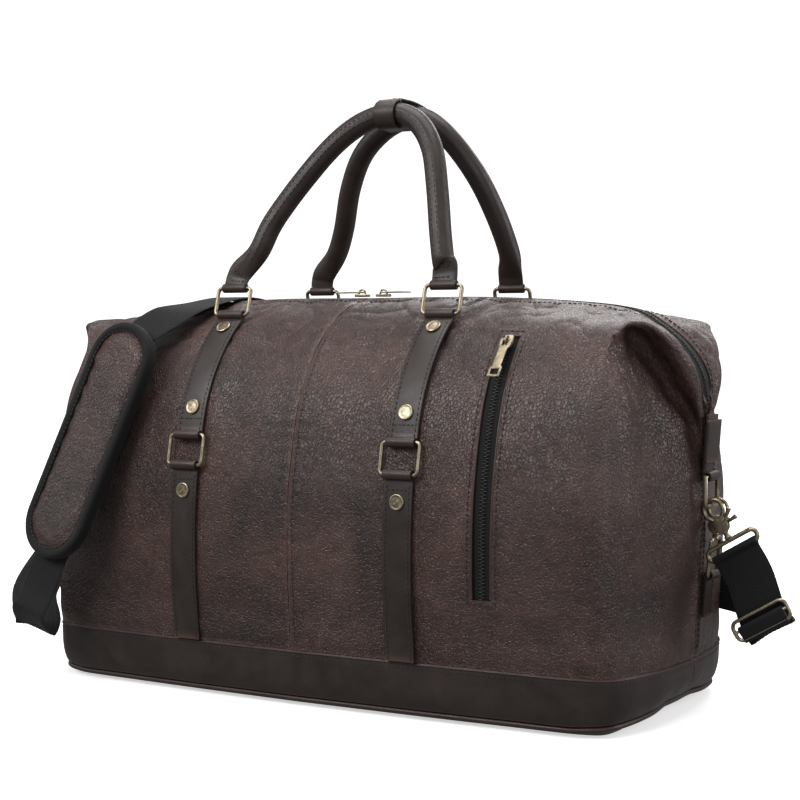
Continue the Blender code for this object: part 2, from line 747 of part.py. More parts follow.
# Front pocket: zip tape with coil in the slot, and the flat pouch behind it
line = profile_at(POCKET_X, -1, POCKET_Z[0] + 0.4, POCKET_Z[1] - 0.4, 13)
tape, _ = strip_outline(line, Vector((-1, 0.3)), -2.0, -0.8, False, False)
coil, _ = strip_outline(line[:-1], Vector((-1, 0.3)), -1.9, 0.6, False, False)
pocket_zip = extruded("pocket_zip_tape", [tape], POCKET_WIDTH - 0.6, FLAT_IN_YZ, (POCKET_X, 0, 0))
pocket_coil = extruded("coil", [coil], 6.0, FLAT_IN_YZ, (POCKET_X, 0, 0))
finish(boolean(pocket_zip, [pocket_coil], "UNION"), FABRIC)
pouch_line = profile_at(POCKET_X - 12, -1, 92, 282, 9)
pouch, _ = strip_outline(pouch_line, Vector((-1, 0.3)), -13.0, -9.0, False, False)
finish(extruded("pocket_pouch", [pouch], 92.0, FLAT_IN_YZ, (POCKET_X - 12, 0, 0)), LINING)
slide_line = profile_at(POCKET_X, -1, 280, 288, 3)
slide_normal = normals_2d(slide_line, Vector((-1, 0.3)))[1]
slide_along = (slide_line[0] - slide_line[2]).normalized()
pocket_seat = Vector((POCKET_X, slide_line[1].x + slide_normal.x * 1.1, slide_line[1].y + slide_normal.y * 1.1))
slider_and_pull("pocket_zip", pocket_seat, Vector((0, slide_along.x, slide_along.y)),
                Vector((0, slide_normal.x, slide_normal.y)), 1.0, 36.0, 10.0)

# Two sliders that meet in the middle of the top zip
top_z = body_point(0, 8, 1, -1).z + 1.5
for x, sideways, pull_side in ((SLIDER_X[0], "left", -1), (SLIDER_X[1], "right", 1)):
    slider_and_pull(f"top_zip_{sideways}", Vector((x, 0, top_z)), Vector((pull_side, 0, 0)),
                    Vector((0, 0, 1)), 0.0, 24.0, 8.0)

# Straps, rings and rivets
upper_bars = {}
for side_y, facing, places in ((-1, "front", FRONT_STRAPS_X), (1, "back", BACK_STRAPS_X)):
    for x, sideways in zip(places, ("left", "right")):
        if facing == "front":
            low_z = LOWER_RING_Z + RING_HEIGHT / 2 - WIRE_RADIUS
            upper = strap(f"front_strap_upper_{sideways}", x, -1, low_z, 303.0, True, True, DARK)
            lower_top = LOWER_RING_Z - RING_HEIGHT / 2 + WIRE_RADIUS
            lower = strap(f"front_strap_lower_{sideways}", x, -1, BAND_TOP + 0.9, lower_top, False, True, DARK)
            link = ring(f"front_lower_ring_{sideways}", x, lower[0], upper[1])
            finish(link, BRASS, (x, upper[1].x, upper[1].y))
            for number, z in enumerate(RIVET_Z, 1):
                rivet(f"front_rivet_{sideways}_{number}", x, -1, z)
            top_bar = upper[0]
        else:
            whole = strap(f"back_strap_{sideways}", x, 1, BAND_TOP + 0.9, 303.0, False, True, DARK)
            rivet(f"back_rivet_{sideways}", x, 1, RIVET_Z[0])
            top_bar = whole[0]
        high = top_bar + Vector((-side_y * 6.0, 22.5))
        upper_ring = ring(f"{facing}_upper_ring_{sideways}", x, top_bar, high)
        finish(upper_ring, BRASS, (x, top_bar.x, top_bar.y))
        upper_bars[facing, sideways] = Vector((x, high.x, high.y))

handle("front_handle", FRONT_HANDLE, upper_bars["front", "left"], upper_bars["front", "right"], DARK)
handle("back_handle", BACK_HANDLE, upper_bars["back", "left"], upper_bars["back", "right"], DARK)
front_axis = (upper_bars["front", "left"] + upper_bars["front", "right"]) / 2
handle_keeper("handle_keeper", FRONT_HANDLE, DARK, front_axis)

# Ends: zip tab with a D-ring, the short strap that holds the end down, and the hooks on the ring
loop_ends = {}
WEB_ACROSS = Vector((0.862, 0, 0.507))
HOOK_DOWN = Vector((0.507, 0, -0.862))
for side_x, sideways in ((-1, "left"), (1, "right")):
    tab_eye = end_tab(f"end_tab_{sideways}", side_x, 0, D_RING_Z, 231.0, True, False, TAB_WIDTH, DARK)[0]
    d_ring(f"d_ring_{sideways}", tab_eye.x, tab_eye.y)
    low_eye = end_tab(f"end_strap_{sideways}", side_x, END_LOOP_Y, 76.0, 108.0, False, True, 15.0, DARK)[0]
    hang = Vector((tab_eye.x + side_x * 3.4, tab_eye.y - D_RING_DROP - 2.2))
    aim = (low_eye - hang).normalized()
    foot, down, side = scissor_hook(f"end_hook_{sideways}", hang, aim, END_HOOK_Y, side_x, BRASS)
    bar_top, bar_low = foot - down * 2.4, Vector((low_eye.x, END_HOOK_Y, low_eye.y))
    loop_centre = (bar_top + bar_low) / 2 + Vector((0, END_LOOP_Y - END_HOOK_Y, 0))
    points = [loop_centre + Vector((0, 1, 0)) * p.x + down * p.y
              for p in rounded_loop(19.8, (bar_low - bar_top).length, 2.0)]
    end_loop = wire("loop", points, 1.6)
    hook = bpy.data.objects[f"end_hook_{sideways}_body"]
    place = hook.location / MM
    finish(boolean(hook, [end_loop], "UNION"), BRASS, place)
    aim = Vector((HOOK_DOWN.x * side_x, HOOK_DOWN.z))
    foot, down, side = scissor_hook(f"strap_hook_{sideways}", hang, aim, STRAP_HOOK_Y, side_x, BRASS)
    across = Vector((WEB_ACROSS.x * side_x, 0, WEB_ACROSS.z))
    swivel_loop(f"strap_loop_{sideways}", foot, down, across, BRASS)
    loop_ends[sideways] = foot + down * 11.6

# Shoulder strap: from the right hook, down to the adjuster, behind the bag, over the top on the left,
# under the pad, down to its fold and back up to the left hook
PAD_CENTRE = Vector((-204.0, -133.0, 203.0))
PAD_LONG = Vector((-0.27, -0.255, -0.93)).normalized()
PAD_OUT = Vector((-0.10, -0.97, 0.22))
PAD_OUT = (PAD_OUT - PAD_LONG * PAD_OUT.dot(PAD_LONG)).normalized()
PAD_WIDE = PAD_OUT.cross(PAD_LONG)
shoulder_pad("shoulder_pad", PAD_CENTRE, PAD_LONG, PAD_WIDE, PAD_OUT)


def under_pad(distance, gap=0.8):
    return PAD_CENTRE + PAD_LONG * distance - PAD_OUT * (PAD_THICKNESS / 2 + gap + WEB_THICKNESS / 2)


right_across = tuple(WEB_ACROSS)
left_across = (WEB_ACROSS.x, 0, -WEB_ACROSS.z)
LEFT_DOWN = Vector((-HOOK_DOWN.x, 0, HOOK_DOWN.z))
WEB_STATIONS = (
    (loop_ends["right"], right_across), (loop_ends["right"] + HOOK_DOWN * 20.0, right_across),
    ((331, -6, 86), right_across),
    ((336, -2, 73), right_across), ((337, 5, 69), right_across), ((330, 17, 70), (0.80, 0.1, 0.6)),
    ((313, 46, 74), (0.55, 0.2, 0.8)), ((297, 84, 76), (0.2, 0.1, 0.97)), ((275, 122, 78), (0, 0, 1)),
    ((235, 139, 82), (0.03, 0, 1)), ((180, 142, 92), (0.15, 0, 0.99)), ((120, 142, 108), (0.28, 0, 0.96)),
    ((60, 142, 130), (0.40, 0, 0.92)), ((0, 140, 158), (0.5, 0, 0.87)), ((-50, 137, 190), (0.62, 0, 0.78)),
    ((-95, 130, 222), (0.75, 0.1, 0.65)), ((-126, 118, 252), (0.88, 0.1, 0.46)),
    ((-145, 100, 281), (0.97, 0.1, 0.2)), ((-150, 78, 303), (1, 0, 0.05)), ((-152, 44, 320), (1, 0, 0)),
    ((-153, 4, 327), (1, 0, 0)), ((-155, -40, 321), (1, 0.08, 0)), ((-161, -74, 309), (0.98, 0.12, -0.12)),
    (under_pad(-100, 4.0), tuple(PAD_WIDE)), (under_pad(-84, 1.8), tuple(PAD_WIDE)), (under_pad(-50), tuple(PAD_WIDE)), (under_pad(0), tuple(PAD_WIDE)),
    (under_pad(50), tuple(PAD_WIDE)), (under_pad(98), tuple(PAD_WIDE)), (under_pad(130), tuple(PAD_WIDE)),
    (under_pad(152), tuple(PAD_WIDE)), ((-257, -143, 44), (0.95, 0.1, -0.3)),
    ((-263, -132, 48), (0.94, 0.1, -0.33)), ((-286, -110, 68), (0.9, 0.1, -0.42)),
    ((-300, -68, 91), (0.87, 0, -0.49)), (loop_ends["left"] + LEFT_DOWN * 20.0, left_across),
    (loop_ends["left"], left_across),
)
ribbon("shoulder_webbing", WEB_STATIONS, 3, FABRIC)

ADJUSTER_CENTRE = Vector((333.0, -10.0, 79.0))
ADJUSTER_DOWN = Vector((0.507, 0, -0.862))
frame_points = [ADJUSTER_CENTRE + WEB_ACROSS * p.x + ADJUSTER_DOWN * p.y for p in rounded_loop(46.0, 15.0, 5.0)]
adjuster = wire("strap_adjuster", frame_points, 1.5)
bar = wire("bar", [ADJUSTER_CENTRE + WEB_ACROSS * s for s in (-23.0, 23.0)], 1.2, cyclic=False)
adjuster = boolean(adjuster, [bar], "UNION")
finish(adjuster, BRASS, ADJUSTER_CENTRE)
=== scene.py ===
"""Looks of a weekender travel bag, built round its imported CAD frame. Lengths are in millimetres until a
mesh is made, +Z up, front towards -Y."""

import math

import bmesh
import bpy
import numpy as np
from mathutils import Matrix, Vector, noise


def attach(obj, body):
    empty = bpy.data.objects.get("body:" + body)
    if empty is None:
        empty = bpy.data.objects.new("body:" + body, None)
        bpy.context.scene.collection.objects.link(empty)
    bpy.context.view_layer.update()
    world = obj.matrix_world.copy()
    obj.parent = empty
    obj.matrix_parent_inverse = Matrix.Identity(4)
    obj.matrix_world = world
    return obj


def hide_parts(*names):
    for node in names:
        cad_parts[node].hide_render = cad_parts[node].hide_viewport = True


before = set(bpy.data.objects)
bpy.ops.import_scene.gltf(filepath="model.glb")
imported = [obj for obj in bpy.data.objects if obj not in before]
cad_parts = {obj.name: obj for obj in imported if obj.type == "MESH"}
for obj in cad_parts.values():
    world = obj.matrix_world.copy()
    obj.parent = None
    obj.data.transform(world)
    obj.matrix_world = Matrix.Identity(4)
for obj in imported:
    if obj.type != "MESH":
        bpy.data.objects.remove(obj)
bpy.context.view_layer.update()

MM = 0.001

# Body surface of one quarter, in millimetres: columns run from the middle seam round the corner to the
# end seam, and rows run from the base band up to the top zip. The fifth and sixth rows of the last four
# columns are the gusset's valley and the folded edge that overhangs it.
QUARTER_NET = (
    ((0, -127, 44.4), (0, -132, 100), (0, -132, 160), (0, -125, 205), (0, -115, 240),
     (0, -97, 271), (0, -72, 297), (0, -42, 314), (0, -13, 321)),
    ((100, -125, 44.4), (100, -130, 100), (100, -129, 160), (100, -121.5, 205), (100, -111.5, 240),
     (100, -94, 271), (100, -70, 297), (100, -42, 313.5), (100, -13, 321)),
    ((180, -122, 44.4), (181, -127, 100), (182, -127, 160), (182, -120, 205), (183, -110, 240),
     (184, -94, 270), (186, -72, 295), (184, -42, 310), (180, -13, 317)),
    ((228, -119, 44.4), (230, -124, 100), (231, -125, 160), (231, -119, 205), (232, -109, 240),
     (234, -95, 271), (238, -78, 295), (234, -44, 306), (226, -13, 311)),
    ((257, -107, 44.4), (259, -110, 100), (260, -110, 160), (258, -104, 205), (255, -96, 243),
     (246, -84, 281), (256, -73, 301), (255, -40, 303), (250, -13, 299)),
    ((272, -62, 44.4), (271, -64, 100), (270, -64, 160), (267, -61, 205), (262, -56, 240),
     (254, -50, 273), (273, -50, 288), (275, -30, 287), (270, -13, 282)),
    ((276, -25, 44.4), (279, -26, 95), (280, -26, 140), (279, -25, 180), (277, -24, 212),
     (273, -22, 237), (287, -26, 256), (287, -19, 259), (283, -13, 261)),
    ((277, -0.25, 44.4), (281, -0.25, 85), (283, -0.25, 120), (284, -0.25, 150), (284.5, -0.25, 175),
     (285, -0.25, 195), (286, -1.5, 210), (287, -4, 223), (288, -8, 236)),
)
MIDDLE_SEAM_X = -8.0
SEAM_GAP = 0.5

BAND_TOP = 44.0
BAND_THICKNESS = 2.4
PIPING_RADIUS = 2.2
BASE_THICKNESS = 3.0

STRAP_WIDTH = 25.0
STRAP_UNDER = 1.3
STRAP_THICKNESS = 2.4
FRONT_STRAPS_X = (-108.0, 91.5)
BACK_STRAPS_X = (-97.0, 92.0)
LOBE_RADIUS = 3.9
EYE_RADIUS = 1.9
WIRE_RADIUS = 1.6
RING_WIDTH = 36.0
RING_HEIGHT = 27.0
LOWER_RING_Z = 197.0
STRAP_FOOT_Z = BAND_TOP + 0.9
STRAP_HEAD_Z = 303.0
RIVET_Z = (294.0, 231.0, 165.0)

HANDLE_RADIUS = 9.0
HANDLE_TAB = (11.4, 2.2)
FRONT_HANDLE = ((-91, -49, 360), (-80, -43, 385), (-58, -34, 417), (-34, -25, 446), (-12, -20, 463),
                (10, -18, 471), (29, -18, 471), (48, -20, 461), (63, -26, 439), (73, -36, 406),
                (81, -46, 374), (88, -54, 350))
BACK_HANDLE = ((-80, 57, 362), (-68, 50, 384), (-54, 38, 417), (-34, 26, 445), (-8, 17, 463),
               (16, 13, 471), (36, 13, 469), (56, 17, 452), (75, 27, 423), (87, 40, 390), (93, 52, 360))

POCKET_X = 160.0
POCKET_Z = (96.0, 290.0)
POCKET_WIDTH = 17.0

SLIDER_X = (-19.0, 2.0)
TAB_WIDTH = 20.0
TAB_TOP_Z = 231.0
END_STRAP_Z = (76.0, 108.0)
END_STRIP_FACES = (1.6, 4.4)
D_RING_Z = 184.0
D_RING_WIDTH = 30.0
D_RING_DROP = 23.0
D_WIRE = 1.8
D_CORNER = 4.4

JAW_RADIUS = 8.2
JAW_WIRE = 1.6
HOOK_REACH = 13.0
HOOK_POST = 12.6
STRAP_HOOK_Y = -5.4
END_HOOK_Y = 5.4
END_LOOP_Y = 8.6

WEB_WIDTH = 38.0
WEB_THICKNESS = 2.0
PAD_LENGTH = 208.0
PAD_WIDTH = 70.0
PAD_THICKNESS = 12.0


# ---------------------------------------------------------------- geometry helpers

def catmull(points, t):
    """Point on the smooth curve through evenly spaced points, t counted in intervals."""
    last = len(points) - 1
    i = min(int(t), last - 1)
    f = t - i
    p1, p2 = points[i], points[i + 1]
    p0 = points[i - 1] if i > 0 else p1 * 2 - p2
    p3 = points[i + 2] if i + 2 <= last else p2 * 2 - p1
    return (p1 * 2 + (p2 - p0) * f + (p0 * 2 - p1 * 5 + p2 * 4 - p3) * f ** 2
            + (p1 * 3 - p0 - p2 * 3 + p3) * f ** 3) * 0.5


NET = [[Vector(point) for point in column] for column in QUARTER_NET]


def body_point(u, v, side_x, side_y):
    """Outer surface of the body. side_x and side_y are +1 or -1 and choose the quarter."""
    point = catmull([catmull(column, v) for column in NET], u)
    shift = MIDDLE_SEAM_X * max(0.0, 1.0 - u / 3.0)
    return Vector((side_x * point.x + shift, -side_y * point.y, point.z))


def crossing(reach, target, top):
    """Place between 0 and top where the rising value reach(place) comes to target."""
    low, high = 0.0, top
    for _ in range(24):
        middle = (low + high) / 2
        if reach(middle) < target:
            low = middle
        else:
            high = middle
    return low


def profile_at(x, side_y, z_low, z_high, count):
    """Points (y, z) up the body's face in the vertical plane at x."""
    side_x = 1 if x > MIDDLE_SEAM_X else -1

    def at(v):
        u = crossing(lambda t: side_x * body_point(t, v, side_x, side_y).x, side_x * x, 4.0)
        return body_point(u, v, side_x, side_y)

    low, high = (crossing(lambda v: at(v).z, z, 8.0) for z in (z_low, z_high))
    found = [at(low + (high - low) * i / (count - 1)) for i in range(count)]
    return [Vector((point.y, point.z)) for point in found]


def outward(side_y):
    """Direction (y, z) that the front or the back looks to."""
    return Vector((side_y, 0.3))


def normals_2d(points, outward):
    """Unit normals of an open polyline, on the side that outward points to."""
    found = []
    for i in range(len(points)):
        along = (points[min(i + 1, len(points) - 1)] - points[max(i - 1, 0)]).normalized()
        normal = Vector((along.y, -along.x))
        found.append(normal if normal.dot(outward) > 0 else -normal)
    return found


def axes(first, second, third):
    """Rotation whose columns are the world directions of the local axes."""
    return Matrix((first, second, third)).transposed()


FLAT_IN_YZ = axes((0, 1, 0), (0, 0, 1), (1, 0, 0))
FLAT_IN_XZ = axes((1, 0, 0), (0, 0, 1), (0, -1, 0))


def arc(centre, radius, start, end, count):
    """2D points on an arc, angles in degrees, both ends included."""
    steps = [math.radians(start + (end - start) * i / (count - 1)) for i in range(count)]
    return [Vector((centre[0] + radius * math.cos(a), centre[1] + radius * math.sin(a))) for a in steps]


def rounded_loop(width, height, radius, corner_steps=4):
    """2D rounded rectangle about the origin."""
    points = []
    corners = ((1, -1, -90), (1, 1, 0), (-1, 1, 90), (-1, -1, 180))
    for side_x, side_y, start in corners:
        centre = (side_x * (width / 2 - radius), side_y * (height / 2 - radius))
        points += arc(centre, radius, start, start + 90, corner_steps)
    return points


def strip_outline(points, outward, under, over, low_lobe, high_lobe):
    """Outline of a strap lying on a face, seen along its width, with a loop at either end."""
    normals = normals_2d(points, outward)
    inner = [point + normal * under for point, normal in zip(points, normals)]
    outer = [point + normal * over for point, normal in zip(points, normals)]
    eyes = []

    def lobe(index, away):
        """Points round the loop from the inner line to the outer one."""
        normal = normals[index]
        along = (points[1] - points[0]) if index == 0 else (points[-1] - points[-2])
        along = along.normalized() * away
        centre = points[index] + normal * (under + LOBE_RADIUS)
        eyes.append(centre)
        swept = []
        for step in range(15):
            angle = math.radians(290 * step / 14)
            swept.append(centre - normal * LOBE_RADIUS * math.cos(angle)
                         + along * LOBE_RADIUS * math.sin(angle))
        return swept

    outline = inner[:-1] if high_lobe else list(inner)
    if high_lobe:
        outline += lobe(-1, 1.0)
        outer = outer[:-1]
    back = outer[::-1]
    if low_lobe:
        outline = outline[1:]
        back = back[:-1]
        outline += back + lobe(0, -1.0)[::-1]
    else:
        outline += back
    return outline, eyes


def end_profile(side_x, z_low, z_high, count):
    """Points (x, z) up the end seam."""
    rows = []
    for i in range(count):
        z = z_low + (z_high - z_low) * i / (count - 1)
        v = crossing(lambda t: body_point(7, t, side_x, -1).z, z, 8.0)
        rows.append(Vector((body_point(7, v, side_x, -1).x, z)))
    return rows


def flat_loft(sections, close_ends=True):
    """Vertices and faces through matching closed sections."""
    size = len(sections[0])
    vertices = [point for section in sections for point in section]
    faces = []
    for i in range(len(sections) - 1):
        for j in range(size):
            k = (j + 1) % size
            faces.append((i * size + j, i * size + k, (i + 1) * size + k, (i + 1) * size + j))
    if close_ends:
        faces.append(tuple(range(size)))
        faces.append(tuple(range(len(vertices) - size, len(vertices))))
    return vertices, faces


def linked(name, data):
    obj = bpy.data.objects.new(name, data)
    bpy.context.scene.collection.objects.link(obj)
    return obj


def cleaned(mesh, gap, sharp):
    """Welds points closer than gap, turns faces outward and shades smooth up to the angle sharp."""
    work = bmesh.new()
    work.from_mesh(mesh)
    bmesh.ops.remove_doubles(work, verts=work.verts, dist=gap)
    bmesh.ops.recalc_face_normals(work, faces=work.faces)
    work.to_mesh(mesh)
    work.free()
    mesh.shade_smooth()
    mesh.set_sharp_from_angle(angle=math.radians(sharp))
    return mesh


def mesh_object(name, vertices, faces, sharp=35.0):
    """Smooth mesh from points in millimetres."""
    mesh = bpy.data.meshes.new(name)
    mesh.from_pydata([tuple(Vector(v) * MM) for v in vertices], [], faces)
    return linked(name, cleaned(mesh, 1e-7, sharp))


def loft(name, sections, sharp=35.0, close_ends=True):
    """Mesh object through matching closed sections."""
    return mesh_object(name, *flat_loft(sections, close_ends), sharp)


def bake(obj, sharp=35.0):
    """Replaces the object by its evaluated mesh, in world space."""
    bpy.context.view_layer.update()
    graph = bpy.context.evaluated_depsgraph_get()
    mesh = bpy.data.meshes.new_from_object(obj.evaluated_get(graph))
    mesh.transform(obj.matrix_world)
    name = obj.name
    bpy.data.objects.remove(obj)
    return linked(name, cleaned(mesh, 1e-6, sharp))


def wire(name, points, radius, cyclic=True, sides=14, taper=None):
    """Round wire through points in millimetres. taper gives each point's share of the radius."""
    curve = bpy.data.curves.new(name, "CURVE")
    curve.dimensions = "3D"
    curve.bevel_depth = radius * MM
    curve.bevel_resolution = (sides - 4) // 2
    curve.use_fill_caps = True
    spline = curve.splines.new("POLY")
    spline.points.add(len(points) - 1)
    for i, (place, point) in enumerate(zip(spline.points, points)):
        place.co = (*(Vector(point) * MM), 1.0)
        place.radius = taper[i] if taper else 1.0
    spline.use_cyclic_u = cyclic
    return bake(linked(name, curve), 60.0)


def extruded(name, outlines, width, turn, centre, edge=0.4, sharp=35.0):
    """Flat outlines thickened by width about the centre plane, with softened edges."""
    curve = bpy.data.curves.new(name, "CURVE")
    curve.dimensions = "2D"
    curve.fill_mode = "BOTH"
    curve.extrude = (width / 2 - edge) * MM
    curve.bevel_depth = edge * MM
    curve.bevel_resolution = 2
    curve.offset = -edge * MM
    for outline in outlines:
        spline = curve.splines.new("POLY")
        spline.points.add(len(outline) - 1)
        for place, point in zip(spline.points, outline):
            place.co = (point[0] * MM, point[1] * MM, 0.0, 1.0)
        spline.use_cyclic_u = True
    obj = linked(name, curve)
    obj.matrix_world = Matrix.Translation(Vector(centre) * MM) @ turn.to_4x4()
    return bake(obj, sharp)


def turned(name, profile, centre, axis, sides=36):
    """Solid of revolution: profile gives (radius, height along the axis)."""
    turn = Vector((0, 0, 1)).rotation_difference(Vector(axis)).to_matrix()
    sections = []
    for radius, height in profile:
        angles = [math.tau * i / sides for i in range(sides)]
        ring = [Vector((radius * math.cos(a), radius * math.sin(a), height)) for a in angles]
        sections.append([Vector(centre) + turn @ point for point in ring])
    return loft(name, sections, 40.0)


def joined(name, parts):
    """One object from several."""
    work = bmesh.new()
    for part in parts:
        mesh = part.data.copy()
        mesh.transform(part.matrix_world)
        work.from_mesh(mesh)
        bpy.data.objects.remove(part)
    mesh = bpy.data.meshes.new(name)
    work.to_mesh(mesh)
    work.free()
    mesh.shade_smooth()
    mesh.set_sharp_from_angle(angle=math.radians(50))
    return linked(name, mesh)


def capsules(name, pieces, sides=6):
    """Short round-ended rods, each (start, end, radius), as one mesh: stitches and zip teeth."""
    vertices, faces = [], []
    rings = ((0.0, 0.35), (0.18, 1.0), (0.82, 1.0), (1.0, 0.35))
    for start, end, radius in pieces:
        along = (end - start).normalized()
        side = along.orthogonal().normalized()
        other = along.cross(side)
        base = len(vertices)
        for share, scale in rings:
            for j in range(sides):
                angle = math.tau * j / sides
                spoke = side * math.cos(angle) + other * math.sin(angle)
                vertices.append(start.lerp(end, share) + spoke * radius * scale)
        for i in range(len(rings) - 1):
            for j in range(sides):
                k = (j + 1) % sides
                faces.append((base + i * sides + j, base + i * sides + k,
                              base + (i + 1) * sides + k, base + (i + 1) * sides + j))
        faces.append(tuple(base + j for j in reversed(range(sides))))
        faces.append(tuple(base + (len(rings) - 1) * sides + j for j in range(sides)))
    mesh = bpy.data.meshes.new(name)
    mesh.from_pydata([tuple(v * MM) for v in vertices], [], faces)
    mesh.shade_smooth()
    return linked(name, mesh)


def resampled(points, step):
    """Points at even steps along a polyline."""
    found, carried = [Vector(points[0])], 0.0
    for a, b in zip(points, points[1:]):
        a, b = Vector(a), Vector(b)
        length = (b - a).length
        place = step - carried
        while place <= length:
            found.append(a.lerp(b, place / length))
            place += step
        carried = length - (place - step)
    return found


def stitch_row(points, length=3.0, gap=1.3, radius=0.5):
    """Stitches along a polyline that lies on a surface."""
    marks = resampled(points, length + gap)
    share = length / (length + gap)
    return [(a, a.lerp(b, share), radius) for a, b in zip(marks, marks[1:])]


def smooth_line(points, per_span=6):
    """Dense points on the smooth curve through a few."""
    points = [Vector(p) for p in points]
    count = (len(points) - 1) * per_span
    return [catmull(points, (len(points) - 1) * i / count) for i in range(count + 1)]


# ---------------------------------------------------------------- materials

class Look:
    """Small builder for a procedural material on one Principled shader."""

    def __init__(self, name):
        self.material = bpy.data.materials.new(name)
        self.material.use_nodes = True
        self.nodes = self.material.node_tree.nodes
        self.links = self.material.node_tree.links
        self.shader = self.nodes["Principled BSDF"]
        self.place = self.nodes.new("ShaderNodeTexCoord").outputs["Object"]

    def join(self, output, socket):
        self.links.new(output, socket)

    def add(self, kind, **inputs):
        """New node. Each input is given by name, as a plain value or as another node's output."""
        node = self.nodes.new("ShaderNode" + kind)
        for name, value in inputs.items():
            if isinstance(value, bpy.types.NodeSocket):
                self.join(value, node.inputs[name])
            else:
                node.inputs[name].default_value = value
        return node

    def stretched(self, scale, turn=(0, 0, 0)):
        return self.add("Mapping", Scale=scale, Rotation=turn, Vector=self.place).outputs["Vector"]

    def noise(self, scale, detail=4.0, rough=0.55, distortion=0.0, vector=None):
        return self.add("TexNoise", Scale=scale, Detail=detail, Roughness=rough, Distortion=distortion,
                        Vector=vector or self.place).outputs["Fac"]

    def cells(self, scale, vector=None):
        """Distance from the nearest groove between rounded cells."""
        node = self.add("TexVoronoi", Scale=scale, Vector=vector or self.place)
        node.feature = "DISTANCE_TO_EDGE"
        return node.outputs["Distance"]

    def wave(self, scale, direction, distortion=0.0):
        node = self.add("TexWave", Scale=scale, Distortion=distortion, Vector=self.place)
        node.bands_direction = direction
        return node.outputs["Fac"]

    def ramp(self, value, *stops):
        """Colour ramp; stops are (place, colour or grey)."""
        node = self.nodes.new("ShaderNodeValToRGB")
        band = node.color_ramp
        for i, (place, colour) in enumerate(stops):
            stop = band.elements[i] if i < 2 else band.elements.new(place)
            stop.position = place
            stop.color = (*colour, 1.0) if isinstance(colour, tuple) else (colour, colour, colour, 1.0)
        self.join(value, node.inputs["Fac"])
        return node.outputs["Color"]

    def mixed(self, share, first, second, mode="MIX"):
        """Blend of two colours, each a tuple or an output, by a number or an output."""
        node = self.add("Mix", Factor=share)
        node.data_type = "RGBA"
        node.blend_type = mode
        sockets = {socket.name: socket for socket in node.inputs if socket.type == "RGBA"}
        for value, name in ((first, "A"), (second, "B")):
            if isinstance(value, tuple):
                sockets[name].default_value = (*value, 1.0)
            else:
                self.join(value, sockets[name])
        return [out for out in node.outputs if out.type == "RGBA"][0]

    def bump(self, height, strength, distance, under=None):
        node = self.add("Bump", Strength=strength, Distance=distance, Height=height)
        if under:
            self.join(under, node.inputs["Normal"])
        return node.outputs["Normal"]

    def worn_edges(self, low, high):
        """Share of wear, from 0 in the flats to 1 on outward edges."""
        point = self.nodes.new("ShaderNodeNewGeometry").outputs["Pointiness"]
        return self.ramp(point, (low, 0.0), (high, 1.0))

    def done(self, colour=None, rough=None, normal=None, metallic=0.0, **plain):
        """Connects the shader. plain holds uniform values, with _ for a space in the socket's name."""
        for value, socket in ((colour, "Base Color"), (rough, "Roughness"), (normal, "Normal")):
            if isinstance(value, float):
                self.shader.inputs[socket].default_value = value
            elif value:
                self.join(value, self.shader.inputs[socket])
        self.shader.inputs["Metallic"].default_value = metallic
        for socket, value in plain.items():
            self.shader.inputs[socket.replace("_", " ")].default_value = value
        return self.material


def body_leather():
    """Mottled brown leather: cloudy patches, fine pebble and short creases, with painted shade in the grooves
    between pebbles and painted highlights on the pebble tops.
    """
    look = Look("brown_leather")
    clouds = look.noise(13.0, 5.0, 0.62, 0.6)
    fine = look.noise(95.0, 7.0, 0.72, 0.5)
    base = look.ramp(clouds, (0.32, DEEP_BROWN), (0.50, MID_BROWN), (0.68, PALE_BROWN))
    patch = look.ramp(fine, (0.34, (0.66, 0.64, 0.64)), (0.68, (1.34, 1.32, 1.30)))
    colour = look.mixed(1.0, base, patch, "MULTIPLY")
    bent = look.nodes.new("ShaderNodeVectorMath")
    bent.operation = "MULTIPLY_ADD"
    wander = look.add("TexNoise", Scale=190.0, Detail=4.0, Vector=look.place)
    look.join(wander.outputs["Color"], bent.inputs[0])
    bent.inputs[1].default_value = (0.0035, 0.0035, 0.0035)
    look.join(look.stretched((1.0, 1.0, 0.72), (0.0, 0.6, 0.0)), bent.inputs[2])
    pebble = look.cells(440.0, vector=bent.outputs["Vector"])
    fine_pebble = look.cells(950.0, vector=bent.outputs["Vector"])
    groove = look.ramp(pebble, (0.0, 0.0), (0.16, 1.0))
    fine_groove = look.ramp(fine_pebble, (0.0, 0.0), (0.20, 1.0))
    # Painted shade and highlight: the grooves between pebbles are darkened towards DEEP_BROWN and the pebble
    # tops are lightened, the way light falls on the grain's relief.
    colour = look.mixed(look.ramp(pebble, (0.0, 0.58), (0.13, 0.0)), colour, DEEP_BROWN)
    tops = look.ramp(pebble, (0.20, (0.92, 0.92, 0.92)), (0.45, (1.22, 1.20, 1.20)))
    colour = look.mixed(1.0, colour, tops, "MULTIPLY")
    colour = look.mixed(look.worn_edges(0.52, 0.60), colour, PALE_BROWN)
    normal = look.bump(look.noise(110.0, 5.0, 0.65), 0.6, 0.0016)
    normal = look.bump(groove, 0.70, 0.00065, normal)
    normal = look.bump(fine_groove, 0.3, 0.0002, normal)
    rough = look.ramp(look.noise(45.0, 5.0, 0.6), (0.3, 0.27), (0.7, 0.42))
    return look.done(colour, rough, normal, Specular_IOR_Level=0.65)


